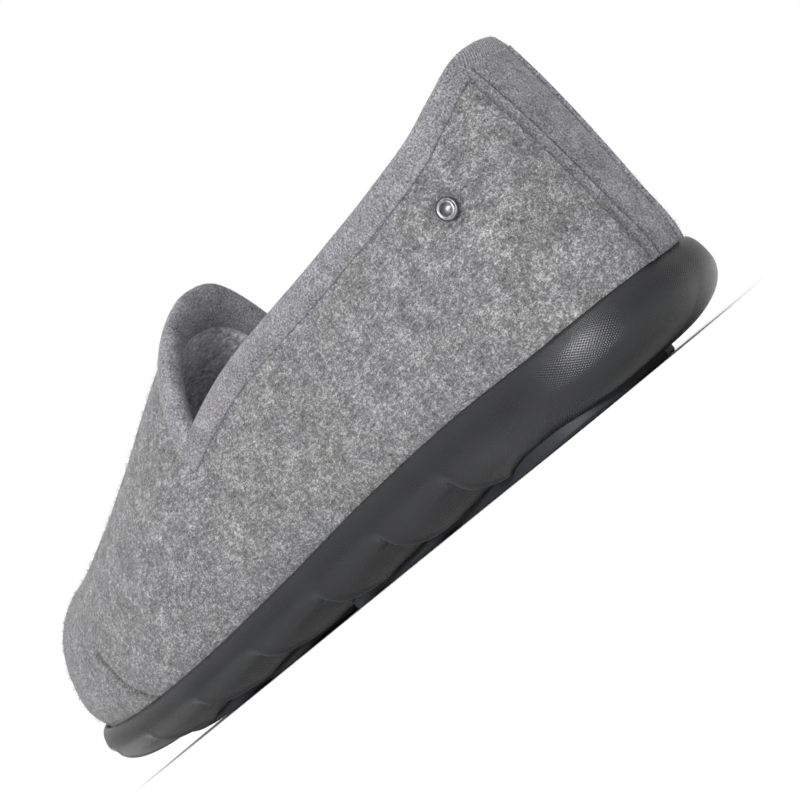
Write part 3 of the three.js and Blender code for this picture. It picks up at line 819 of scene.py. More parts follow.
@dataclass(frozen=True)
class MouldedFinish:
    """Moulded sole material with a fine crosshatch in its skin."""

    name: str = "moulded_sole"
    level: float = 18.0
    roughness: float = 0.28
    hatch: float = 0.00006
    pitch: float = 0.00072

    def make(self) -> bpy.types.Material:
        """Makes the material."""
        tree = NodeTree(bpy.data.materials.new(self.name))
        flat = tree.nodes.new("ShaderNodeUVMap")
        flat.uv_map = "skin"
        scale = 2 * math.pi / (20.0 * self.pitch)
        turned = [tree.mapped((1, 1, 1), (0, 0, turn), flat.outputs["UV"]) for turn in (0.9, -0.9)]
        lines = [tree.waves(plane, scale) for plane in turned]
        wear = tree.noise(tree.mapped((1, 1, 1)), 55.0, 3.0, 0.55)
        tint = (0.9, 0.96, 1.16)
        stops = [(0.3, shade(self.level - 4, tint)), (0.7, shade(self.level + 4, tint))]
        tree.colour(tree.ramp(wear, stops))
        rough = tree.math("MULTIPLY_ADD", wear, 0.14, self.roughness - 0.07)
        tree.links.new(rough, tree.shader.inputs["Roughness"])
        tree.shader.inputs["Specular IOR Level"].default_value = 0.45
        tree.bump(tree.math("MULTIPLY", lines[0], lines[1]), self.hatch, 1.0)
        return tree.material


@dataclass(frozen=True)
class InsetFinish:
    """Smooth red moulded material with a soft gloss."""

    name: str = "red_inset"

    def make(self) -> bpy.types.Material:
        """Makes the material."""
        tree = NodeTree(bpy.data.materials.new(self.name))
        cloud = tree.noise(tree.mapped((1, 1, 1)), 90.0, 3.0)
        stops = [(0.3, (0.50, 0.105, 0.078)), (0.7, (0.60, 0.135, 0.1))]
        tree.colour(tree.ramp(cloud, stops))
        tree.shader.inputs["Roughness"].default_value = 0.36
        tree.bump(tree.noise(tree.mapped((1, 1, 1)), 2600.0, 1.0), 0.00003, 0.6)
        return tree.material


@dataclass(frozen=True)
class SteelFinish:
    """Plain polished metal, faintly worn."""

    name: str = "stud_steel"

    def make(self) -> bpy.types.Material:
        """Makes the material."""
        tree = NodeTree(bpy.data.materials.new(self.name))
        wear = tree.noise(tree.mapped((1, 1, 1)), 900.0, 3.0)
        tree.colour(tree.ramp(wear, [(0.3, (0.05, 0.05, 0.053)), (0.7, (0.13, 0.13, 0.135))]))
        tree.shader.inputs["Metallic"].default_value = 1.0
        rough = tree.math("MULTIPLY_ADD", wear, 0.2, 0.22)
        tree.links.new(rough, tree.shader.inputs["Roughness"])
        return tree.material


@dataclass(frozen=True)
class StageFinish:
    """A plain pale surface."""

    name: str = "pale_floor"
    level: float = 251.0

    def make(self) -> bpy.types.Material:
        """Makes the material."""
        tree = NodeTree(bpy.data.materials.new(self.name))
        tree.shader.inputs["Base Color"].default_value = (*shade(self.level), 1.0)
        tree.shader.inputs["Roughness"].default_value = 0.9
        tree.shader.inputs["Specular IOR Level"].default_value = 0.1
        return tree.material


@dataclass
class Finishes:
    """Every material of the slipper."""

    felt: bpy.types.Material = field(default_factory=lambda: FeltFinish().make())
    lining: bpy.types.Material = field(
        default_factory=lambda: VelourFinish("pile_lining", 202.0, grain=Grain.PILE).make()
    )
    velour: bpy.types.Material = field(default_factory=lambda: VelourFinish("velour_binding", 110.0).make())
    roll: bpy.types.Material = field(default_factory=lambda: VelourFinish("velour_roll", 114.0).make())
    strap: bpy.types.Material = field(default_factory=lambda: VelourFinish("velour_strap", 105.0).make())
    fleece: bpy.types.Material = field(
        default_factory=lambda: VelourFinish("pile_footbed", 138.0, grain=Grain.PILE).make()
    )
    knit: bpy.types.Material = field(default_factory=lambda: KnitFinish().make())
    fibre: bpy.types.Material = field(
        default_factory=lambda: VelourFinish("felt_fibre", 113.0, (1, 1, 1.01)).make()
    )
    pile: bpy.types.Material = field(default_factory=lambda: VelourFinish("pile_fibre", 206.0).make())
    sole: bpy.types.Material = field(default_factory=lambda: MouldedFinish().make())
    tread: bpy.types.Material = field(
        default_factory=lambda: MouldedFinish("moulded_tread", 42.0, 0.5, 0.00005, 0.0011).make()
    )
    inset: bpy.types.Material = field(default_factory=lambda: InsetFinish().make())
    steel: bpy.types.Material = field(default_factory=lambda: SteelFinish().make())


@dataclass
class Upper:
    """The felt wall: vamp and tongue, both quarters, open at the collar and underneath."""

    form: FootForm
    wall: float = 3.0
    edge_cover: float = 1.5
    rows: int = 330
    outer_columns: int = 156
    inner_columns: int = 44
    rim_columns: int = 2
    seam: tuple = ((-88.0, 41.0), (-71.0, 17.0))
    seam_width: float = 0.75
    stud_place: Array = field(default_factory=lambda: np.zeros(3))
    dimple_width: float = 4.6

    def _turn(self, u: Array) -> tuple:
        """Where a parameter across the section lies.

        Args:
            u: from 0 to 1, round the section: out over the ridge, and back inside.

        Returns:
            Sign of the side, angle up from the edge, and how far into the wall, from 0 to 1.
        """
        total = self.outer_columns + self.inner_columns + 2 * self.rim_columns
        c = u * total
        outer_end, rim_end = self.outer_columns, self.outer_columns + self.rim_columns
        inner_end = rim_end + self.inner_columns
        t = np.where(c <= outer_end, -1 + 2 * c / self.outer_columns, 1.0)
        t = np.where(c >= rim_end, 1 - 2 * (c - rim_end) / self.inner_columns, t)
        t = np.where(c >= inner_end, -1.0, t)
        depth = np.clip((c - outer_end) / self.rim_columns, 0, 1)
        depth = np.where(c >= inner_end, 1 - np.clip((c - inner_end) / self.rim_columns, 0, 1), depth)
        return np.where(t >= 0, 1.0, -1.0), (1 - np.abs(t)) * math.pi / 2, depth

    def _place(self, u: Array, v: Array) -> Array:
        """Places the section's points."""
        sign, angle, depth = self._turn(u)
        middle = self.form.middle(v)
        full = self.form.fullness.read(self.form.at_y(middle[:, 1]))
        climb = np.clip(np.sin(angle), 0, 1) ** (2 / full)
        points = self.form.skin(sign, v, climb, -self.wall * depth)
        sunk = (self.crease_and_shade(points) * 1.1 + self.dimple(points) * 0.9) * (depth <= 0)
        points = self.form.skin(sign, v, climb, -self.wall * depth - sunk)
        return self.form.placed(points)

    def crease_and_shade(self, points: Array) -> Array:
        """How much of the seam line at the side of the toe runs through each point."""
        y, z = points[..., 1], points[..., 2]
        (y0, z0), (y1, z1) = self.seam
        t = np.clip(((y - y0) * (y1 - y0) + (z - z0) * (z1 - z0)) / ((y1 - y0) ** 2 + (z1 - z0) ** 2), 0, 1)
        bow = 1.3 * np.sin(np.pi * t)
        away = np.hypot(y - y0 - t * (y1 - y0) + bow, z - z0 - t * (z1 - z0) + bow)
        return np.exp(-((away / self.seam_width) ** 2)) * (points[..., 0] > 0)

    def dimple(self, points: Array) -> Array:
        """How much of the stud's dimple lies at each point."""
        away = np.linalg.norm(points - self.stud_place, axis=-1)
        return np.exp(-((away / self.dimple_width) ** 2))

    def opening(self) -> bmesh.types.BMesh:
        """The body of the foot's opening, grown into the felt."""
        form = self.form
        grow = self.edge_cover
        z = np.linspace(form.instep_height * 1.7, form.instep_height * 0.5, 60)
        tongue = np.stack([form.tongue_edge(z) - grow, z], 1)
        y = np.linspace(form.y_at(0.62), form.y_at(-0.1), 160)
        collar = np.stack([y, form.collar_level(y) - grow], 1)
        tongue = tongue[tongue[:, 1] > np.interp(tongue[:, 0], collar[:, 0], collar[:, 1])]
        collar = collar[collar[:, 0] > tongue[-1, 0]]
        path = np.concatenate([tongue, collar, [[collar[-1, 0], tongue[0, 1]]]])
        bm = bmesh.new()
        half = form.ball_width
        verts = [bm.verts.new(Vector(form.placed(np.array([-half, *p])))) for p in path]
        face = bm.faces.new(verts)
        made = bmesh.ops.extrude_face_region(bm, geom=[face])
        moved = [g for g in made["geom"] if isinstance(g, bmesh.types.BMVert)]
        bmesh.ops.translate(bm, verts=moved, vec=Vector((2 * half * MM, 0, 0)))
        bmesh.ops.triangulate(bm, faces=[f for f in bm.faces if len(f.verts) > 4])
        bmesh.ops.recalc_face_normals(bm, faces=bm.faces)
        return bm

    def build(self, finishes: Finishes) -> bpy.types.Object:
        """Builds and dresses the upper.

        Args:
            finishes: the slipper's materials.

        Returns:
            The piece.
        """
        total = self.outer_columns + self.inner_columns + 2 * self.rim_columns
        outside = lambda u, v: (u * total > self.outer_columns).astype(int)
        unplaced = lambda u, v: self._place(u, v) / MM - np.array(self.form.shift)
        # Painted shade for the felt: a dark line along the sunk seam at the side of the toe and a dark ring
        # round the stud's dimple.
        shaded = lambda u, v: self.crease_and_shade(unplaced(u, v)) + 0.5 * self.dimple(unplaced(u, v)) ** 1.5
        bm = grid_mesh(total, self.rows, self._place, outside, crease_and_shade=shaded)
        obj = to_object("felt_upper", bm, [finishes.felt, finishes.lining])
        cut_away(obj, self.opening())
        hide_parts("upper")
        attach(obj, "root")
        return obj


@dataclass
class CollarBinding:
    """Velour folded over the collar, from one side's notch round the back to the other's."""

    form: FootForm
    band: float = 8.0
    skin: float = 1.0
    knit_half: float = 10.0
    stations: int = 320
    fold: tuple = (
        (-0.5, 1.0), (0.2, 1.03), (0.65, 0.98), (1.0, 0.84), (1.25, 0.6), (1.3, 0.34), (0.95, 0.1),
        (-0.1, -0.05), (-1.5, -0.09), (-2.9, -0.05), (-4.0, 0.1), (-4.35, 0.34), (-4.3, 0.6),
        (-4.1, 0.84), (-3.75, 0.98), (-3.2, 1.03), (-2.6, 1.0), (-2.7, 0.6), (-2.2, 0.34), (-1.5, 0.3),
        (-0.8, 0.34), (-0.3, 0.6),
    )

    def _place(self, u: Array, v: Array) -> Array:
        """Places the fold's points along the collar."""
        count = len(self.fold)
        k = np.round(u * count).astype(int) % count
        offset = np.array([p[0] for p in self.fold])[k] * self.skin
        depth = np.array([p[1] for p in self.fold])[k] * self.band
        along = (v * 2 - 1) * self._notch_share()
        sign = np.where(along >= 0, 1.0, -1.0)
        share = np.abs(along)
        at_back = 1 - smoothstep(share * self.form.length, self.knit_half - 2.0, self.knit_half + 1.0)
        offset = offset + 0.55 * at_back * np.clip(offset, 0, 1)
        climb = self.form.climb_down_from(sign, share, offset, depth * (1 - 0.16 * at_back))
        return self.form.placed(self.form.skin(sign, share, climb, offset))

    def _knit(self, u: Array, v: Array) -> Array:
        """Which faces are the ribbed part, across the back."""
        return (np.abs(v * 2 - 1) * self._notch_share() * self.form.length < self.knit_half).astype(int)

    def _painted_shade(self, u: Array, v: Array) -> Array:
        """How much painted shade each point takes: a dark line along the fold's lower edge, by the heel."""
        k = np.round(u * len(self.fold)).astype(int) % len(self.fold)
        heel = 1 - smoothstep(np.abs(v * 2 - 1) * self._notch_share(), 0.1, 0.3)
        return (k <= 1) * 0.6 * heel

    def _notch_share(self) -> float:
        """The share of the outline at which the binding runs out, under the tongue's."""
        shares = np.linspace(0.2, 0.8, 400)
        climb = self.form.climb_down_from(np.ones(400), shares, 0.0, 0.0)
        y = self.form.point(np.ones(400), shares, climb, 0.0)[:, 1]
        return float(np.interp(-(self.form.y_at(self.form.notch_at) - 5.0), -y, shares))

    def build(self, finishes: Finishes) -> bpy.types.Object:
        """Builds and dresses the collar's binding."""
        bm = grid_mesh(len(self.fold), self.stations, self._place, self._knit, crease_and_shade=self._painted_shade)
        close_ends(bm)
        obj = to_object("collar_velour", bm, [finishes.velour, finishes.knit])
        rounded(obj, 1)
        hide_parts("collar_binding")
        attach(obj, "root")
        return obj


@dataclass
class TongueBinding:
    """A padded roll of velour over the tongue's rear edge."""

    form: FootForm
    width: float = 8.2
    thickness: float = 7.4
    stations: int = 90
    section: int = 20
    felt_wall: float = 3.0
    fullness: float = 2.55

    def _place(self, u: Array, v: Array) -> Array:
        """Places the roll's points along the tongue's edge."""
        turn = 2 * math.pi * u
        across = np.sign(np.cos(turn)) * np.abs(np.cos(turn)) ** 0.9
        offset = -self.felt_wall / 2 + self.thickness / 2 * across
        forward = self.width * 0.5 * (0.94 - np.sign(np.sin(turn)) * np.abs(np.sin(turn)) ** 0.9)
        t = v * 2 - 1
        sign = np.where(t >= 0, 1.0, -1.0)
        low = self._low_climb()
        angle_low = math.asin(low ** (self.fullness / 2))
        angle = math.pi / 2 - (math.pi / 2 - angle_low) * np.abs(t)
        climb = np.clip(np.sin(angle), 0, 1) ** (2 / self.fullness)
        share = self.form.share_ahead_of_tongue(sign, climb, offset, forward)
        return self.form.placed(self.form.skin(sign, share, climb, offset))

    def _low_climb(self) -> float:
        """The climb at which the roll starts, just under the notch."""
        climbs = np.linspace(0.2, 0.95, 300)
        ones = np.ones(300)
        share = self.form.share_ahead_of_tongue(ones, climbs, 0.0, 3.0)
        p = self.form.point(ones, share, climbs, 0.0)
        gap = p[:, 2] - (self.form.collar_level(p[:, 1]) - 3.0)
        return float(np.interp(0.0, gap, climbs))

    def build(self, finishes: Finishes) -> bpy.types.Object:
        """Builds and dresses the tongue's roll."""
        bm = grid_mesh(self.section, self.stations, self._place)
        close_ends(bm)
        obj = to_object("tongue_roll", bm, [finishes.roll])
        rounded(obj, 1)
        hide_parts("tongue_binding")
        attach(obj, "root")
        return obj


@dataclass
class HeelStrap:
    """A velour strip up the back, with a turned welt along each side."""

    form: FootForm
    foot_width: float = 16.0
    top_width: float = 24.0
    thickness: float = 1.1
    welt: float = 2.3
    welt_rise: float = 0.8
    gap: float = 0.3
    columns: int = 120
    rows: int = 90

    def _strip(self, u: Array, v: Array) -> tuple:
        """Lays out the strip: whether on its face, its height, its X, and how far in from its edge."""
        front = u <= 0.8
        across = np.where(front, -1 + 2 * u / 0.8, 1 - 2 * (u - 0.8) / 0.2)
        z_low = self.form.lip_level(np.full(v.shape, self.form.length / 2)) - 0.8
        z_top = self.form.collar_level(np.full(v.shape, self.form.length / 2)) - 6.5
        z = z_low + (z_top - z_low) * v
        half = (self.foot_width + (self.top_width - self.foot_width) * (z - 23.0) / (94.0 - 23.0)) / 2
        return front, z, across * half, (1 - np.abs(across)) * half, z - z_low

    def _painted_shade(self, u: Array, v: Array) -> Array:
        """How much painted shade each point takes: beside each welt, stronger on the outer face."""
        front, _, x, inside, _ = self._strip(u, v)
        lines = 0.5 * np.exp(-(((inside - self.welt) / 0.5) ** 2)) + 0.95 * np.exp(-((inside / 0.6) ** 2))
        return lines * np.where(front & (x > 0), 1.0, 0.35)

    def _place(self, u: Array, v: Array) -> Array:
        """Places the strip's skin: across its face, and back behind it."""
        front, z, x, inside, above = self._strip(u, v)
        ridge = np.exp(-(((inside - self.welt * 0.5) / (self.welt * 0.36)) ** 2)) * self.welt_rise
        groove = -0.4 * np.exp(-(((inside - self.welt) / 0.5) ** 2))
        edge = smoothstep(inside, 0.0, 0.9) * smoothstep(above, 0.0, 0.5)
        height = -0.3 + (self.gap + 0.3 + self.thickness + ridge + groove) * edge
        offset = np.where(front, height, -0.4)
        return self.form.placed(self.form.back_stop(x, z, offset))

    def build(self, finishes: Finishes) -> bpy.types.Object:
        """Builds and dresses the strap."""
        bm = grid_mesh(self.columns, self.rows, self._place, crease_and_shade=self._painted_shade)
        close_ends(bm)
        obj = to_object("heel_strap_velour", bm, [finishes.strap])
        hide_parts("heel_strap")
        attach(obj, "root")
        return obj


@dataclass
class SoleBody:
    """The moulded sole: lip, scooped side, underside and the cup that holds the felt."""

    form: FootForm
    flare: float = 3.6
    waves: int = 11
    wave_depth: float = 3.6
    slant: float = 0.35
    crest: float = 0.14
    rib: float = 0.55
    clearance: float = 0.3
    outside_rows: int = 62
    cup_rows: int = 8
    turns: int = 720
    girth: float = 62.0
    flares: Table = Table((0.0, 0.12, 0.25, 0.8, 0.92, 1.0), (0.35, 0.7, 1.0, 0.9, 0.05, -0.5))
    keys: tuple = (0.0, 0.1, 0.22, 0.34, 0.45, 0.55, 0.65, 0.74, 0.84, 0.94, 1.0)
    inward: tuple = (1.0, 0.8, 0.56, 0.34, 0.17, 0.07, 0.012, 0.0, 0.012, 0.042, 0.075)
    rise: tuple = (0.085, 0.085, 0.09, 0.12, 0.2, 0.31, 0.46, 0.62, 0.82, 0.95, 1.0)
    scoop: tuple = (0.0, 0.0, 0.0, 0.0, 0.2, 0.9, 0.5, 0.0, 0.0, 0.0, 0.0)
    lift: tuple = (0.0, 0.15, 0.55, 0.9, 1.0, 0.6, 0.1, 0.0, 0.0, 0.0, 0.0)

    def scallop(self, share: Array) -> Array:
        """How deep the scoops cut at a share of the half edge: none round the heel."""
        phase = (share * self.waves) % 1
        front = smoothstep(phase, 0.0, self.crest)
        back = np.clip((1 - phase) / (1 - self.crest), 0, 1) ** 1.15
        shape = np.where(phase < self.crest, front, back)
        near = np.minimum(phase, 1 - phase)
        ribs = self.rib * np.exp(-((near / 0.045) ** 2)) / self.wave_depth
        begins = smoothstep(share * self.waves, 2.2, 3.2)
        ends = 1 - 0.45 * smoothstep(share, 0.85, 1.0)
        return self.wave_depth * (shape - ribs) * begins * ends

    def _outside(self, sign: Array, share: Array, w: Array) -> Array:
        """Points from the middle of the underside out and up to the lip."""
        form = self.form
        read = lambda column: Table(self.keys, column).read(w)
        inward, rise, scoop, lift = (read(c) for c in (self.inward, self.rise, self.scoop, self.lift))
        depth = self.scallop(share) * np.sin(np.pi * np.clip(share, 0, 1)) ** 0.15
        flare = self.flare * self.flares.read(share)
        edge = form.outline(sign, share, flare - depth * scoop)
        middle = form.middle(share)
        sides = [form.outline(np.full(share.shape, s), share, flare) for s in (1.0, -1.0)]
        reach = [np.linalg.norm(side - middle, axis=-1) for side in sides]
        plan = edge + (middle - edge) * inward[..., None]
        fade = np.sin(np.pi * np.clip(share, 0, 1)) ** 0.5
        plan[..., 1] += self.slant * inward * (reach[0] + reach[1]) / 2 * fade
        floor = form.rocker(plan[..., 1])
        lip = form.lip_level(edge[..., 1] + (middle[..., 1] - edge[..., 1]) * inward)
        z = floor + (lip - floor) * rise + depth * lift
        return np.concatenate([plan, z[..., None]], -1)

    def _cup(self, sign: Array, share: Array, w: Array) -> Array:
        """Points from the lip down the inside to the middle of the felt's bed."""
        form = self.form
        lip = self._outside(sign, share, np.ones(share.shape))
        rim = form.climb_to(sign, share, self.clearance, lip[..., 2] - 1.0)
        down = np.clip(1 - w / 0.6, 0, 1)
        wall = form.point(sign, share, rim * down, np.full(share.shape, self.clearance))
        wall[..., 2] -= self.clearance * smoothstep(w, 0.3, 0.6)
        middle = form.middle(share)
        reach = np.clip((w - 0.6) / 0.4, 0, 1)[..., None]
        plan = wall[..., :2] + (middle - wall[..., :2]) * reach
        bed = form.bed_level(plan[..., 1]) - self.clearance
        flat = np.concatenate([plan, bed[..., None]], -1)
        return np.where((w > 0.6)[..., None], flat, wall)

    def _place(self, u: Array, v: Array) -> Array:
        """Places the sole's points."""
        t = (u * 2 - 1) % 2
        sign = np.where(t <= 1, 1.0, -1.0)
        share = np.where(t <= 1, t, 2 - t)
        split = self.outside_rows / (self.outside_rows + self.cup_rows)
        outside = self._outside(sign, share, np.clip(v / split, 0, 1))
        inside = self._cup(sign, share, np.clip((v - split) / (1 - split), 0, 1))
        return self.form.placed(np.where((v <= split + 1e-9)[:, None], outside, inside))

    def _skin(self, u: Array, v: Array) -> Array:
        """The skin's own plane, in metres: along the outline, and out from under and up."""
        along = np.abs(u * 2 - 1) * self.form.length * 1.25
        return np.stack([along, v * self.girth], -1) * MM

    def build(self, finishes: Finishes, seat: bmesh.types.BMesh) -> bpy.types.Object:
        """Builds and dresses the sole.

        Args:
            finishes: the slipper's materials.
            seat: the body of the inset's recess.

        Returns:
            The piece.
        """
        bm = grid_mesh(self.turns, self.outside_rows + self.cup_rows, self._place, skin=self._skin)
        obj = to_object("sole_body", bm, [finishes.sole])
        cut_away(obj, seat)
        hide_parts("sole")
        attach(obj, "root")
        return obj


@dataclass
class TreadPad:
    """A tread pad: a flat island with a soft edge that follows the sole's rocker."""

    form: FootForm
    name: str
    lateral: Table
    medial: Table
    pitch: float = 3.0
    bend: float = 0.0
    rib: float = 0.25
    height: float = 4.4
    edge: float = 0.7
    section: int = 96
    stations: int = 420

    def _place(self, u: Array, v: Array) -> Array:
        """Places the pad's points: across its face, up a wall, back across, and down."""
        first, last = self.lateral.keys[0], self.lateral.keys[-1]
        at = first + (last - first) * (0.5 - 0.5 * np.cos(np.pi * v))
        left = self.form.ball_width * self.medial.read(at)
        right = self.form.ball_width * self.lateral.read(at)
        c = u * 8
        across = np.where(c <= 3, c / 3, np.where(c <= 4, 1.0, np.where(c <= 7, 1 - (c - 4) / 3, 0.0)))
        level = np.where(c <= 3, 0.0, np.where(c <= 4, c - 3, np.where(c <= 7, 1.0, 8 - c)))
        width = np.maximum(right - left, 0)
        soft = np.minimum(self.edge, width * 0.2)
        near = np.minimum(across, 1 - across) * width
        lower = np.where(level <= 0, soft * np.clip(1 - near / np.maximum(soft, 1e-6), 0, 1) ** 2, 0.0)
        x = left + width * across
        y = self.form.y_at(at)
        z = self.form.rocker(y) + lower + np.where(level > 0, soft + (self.height - soft) * level, 0.0)
        ribs = 0.5 - 0.5 * np.cos(2 * np.pi * (y + self.bend * np.sin(x / 5.0)) / self.pitch)
        z += np.where(level <= 0, self.rib * ribs * smoothstep(near, 0.6, 2.0), 0.0)
        return self.form.placed(np.stack([x, y, z], -1))

    def _skin(self, u: Array, v: Array) -> Array:
        """The skin's own plane, in metres: across the pad and along it."""
        first, last = self.lateral.keys[0], self.lateral.keys[-1]
        at = first + (last - first) * (0.5 - 0.5 * np.cos(np.pi * v))
        return np.stack([u * 120.0, self.form.y_at(at)], -1) * MM

    def build(self, finishes: Finishes, seat: Optional[bmesh.types.BMesh] = None) -> bpy.types.Object:
        """Builds and dresses the pad.

        Args:
            finishes: the slipper's materials.
            seat: the body of a recess in it, if it has one.

        Returns:
            The piece.
        """
        bm = grid_mesh(self.section, self.stations, self._place, skin=self._skin)
        close_ends(bm)
        bmesh.ops.triangulate(bm, faces=[f for f in bm.faces if len(f.verts) > 4])
        obj = to_object(self.name, bm, [finishes.tread])
        if seat is not None:
            cut_away(obj, seat)
        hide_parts("sole")
        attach(obj, "root")
        return obj


def heel_pad(form: FootForm) -> TreadPad:
    """The pad under the heel, its front drawn out towards the outer side."""
    keys = (0.076, 0.082, 0.094, 0.12, 0.155, 0.21, 0.27, 0.34, 0.4, 0.45, 0.49, 0.495)
    lateral = (0.01, 0.07, 0.16, 0.25, 0.29, 0.255, 0.18, 0.165, 0.185, 0.22, 0.25, 0.25)
    medial = (-0.02, -0.05, -0.14, -0.21, -0.245, -0.235, -0.18, -0.1, 0.03, 0.14, 0.225, 0.235)
    return TreadPad(form, "heel_pad", Table(keys, lateral), Table(keys, medial), pitch=1.6, bend=0.8)


def forefoot_pad(form: FootForm) -> TreadPad:
    """The pad under the ball and toes, its rear drawn out towards the inner side."""
    keys = (0.4, 0.405, 0.45, 0.505, 0.56, 0.62, 0.73, 0.8, 0.86, 0.905, 0.93, 0.935)
    lateral = (-0.012, -0.005, 0.06, 0.13, 0.2, 0.26, 0.3, 0.26, 0.17, 0.05, -0.05, -0.08)
    medial = (-0.03, -0.04, -0.12, -0.24, -0.33, -0.39, -0.44, -0.43, -0.38, -0.28, -0.16, -0.12)
    return TreadPad(form, "forefoot_pad", Table(keys, lateral), Table(keys, medial))


@dataclass
class HeelInset:
    """The oval inset of the heel pad: a dished plug with a thin rim."""

    form: FootForm
    length: float = 33.0
    width: float = 37.0
    depth: float = 3.4
    sunk: float = 0.4
    dish: float = 1.1
    clearance: float = 0.3
    sides: int = 96

    def _oval(self, grown: float, profile: Sequence[tuple]) -> bmesh.types.BMesh:
        """Turns a profile about the oval's axis.

        Args:
            grown: added to the oval's radii.
            profile: pairs of share of the radius and height, from the axis out and back to it.

        Returns:
            The mesh.
        """
        bm = spun(profile, self.sides, 1.0)
        scale = Vector(((self.width / 2 + grown) * MM, (self.length / 2 + grown) * MM, 1))
        bmesh.ops.scale(bm, vec=scale, verts=bm.verts)
        centre = self.form.placed(np.array([0.0, float(self.form.y_at(self.form.inset_at)), 0.0]))
        bmesh.ops.translate(bm, verts=bm.verts, vec=Vector((centre[0], centre[1], 0)))
        bmesh.ops.remove_doubles(bm, verts=bm.verts, dist=1e-6)
        bmesh.ops.recalc_face_normals(bm, faces=bm.faces)
        smooth_all(bm)
        return bm

    def seat(self) -> bmesh.types.BMesh:
        """The body of the recess that the inset sits in."""
        roof = self.depth + self.clearance
        return self._oval(self.clearance, [(0, -3.0), (1, -3.0), (1, roof), (0, roof)])

    def build(self, finishes: Finishes) -> bpy.types.Object:
        """Builds and dresses the inset."""
        floor = self.sunk + self.dish
        profile = [
            (0, floor), (0.3, floor - 0.02), (0.6, floor - 0.08), (0.86, floor - 0.12),
            (0.905, floor - 0.2), (0.925, self.sunk + 0.25), (0.94, self.sunk + 0.03),
            (0.955, self.sunk), (0.98, self.sunk),
            (0.995, self.sunk + 0.08), (1.0, self.sunk + 0.3), (1.0, self.depth), (0, self.depth),
        ]
        obj = to_object("red_heel_inset", self._oval(0.0, profile), [finishes.inset])
        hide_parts("heel_inset")
        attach(obj, "root")
        return obj


@dataclass
class Footbed:
    """The padded insole with a raised, dished edge."""

    form: FootForm
    thickness: float = 5.0
    margin: float = 3.55
    gap: float = 0.3
    turns: int = 220
    rows: int = 40
    keys: tuple = (0.0, 0.12, 0.3, 0.42, 0.5, 0.58, 0.7, 0.85, 1.0)
    inward: tuple = (1.0, 0.5, 0.02, 0.0, 0.0, 0.02, 0.1, 0.45, 1.0)
    level: tuple = (0.0, 0.0, 0.0, 0.2, 0.75, 0.97, 1.0, 0.76, 0.72)

    def _place(self, u: Array, v: Array) -> Array:
        """Places the pad's points: out under it, up its edge and in over its top."""
        t = (u * 2 - 1) % 2
        sign = np.where(t <= 1, 1.0, -1.0)
        share = np.where(t <= 1, t, 2 - t)
        inward, level = Table(self.keys, self.inward).read(v), Table(self.keys, self.level).read(v)
        edge = self.form.outline(sign, share, -self.margin - self.form.tuck.read(share))
        plan = edge + (self.form.middle(share) - edge) * inward[:, None]
        on_top = (level > 0.5) * smoothstep(inward, 0.05, 0.3)
        quilt = 0.25 * np.sin(plan[:, 0] / 6.0) * np.sin(plan[:, 1] / 8.0) * on_top
        z = self.form.bed_level(plan[:, 1]) + self.gap + self.thickness * level + quilt
        return self.form.placed(np.concatenate([plan, z[:, None]], -1))

    def build(self, finishes: Finishes) -> bpy.types.Object:
        """Builds and dresses the insole."""
        obj = to_object("footbed", grid_mesh(self.turns, self.rows, self._place), [finishes.fleece])
        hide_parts("insole")
        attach(obj, "root")
        return obj


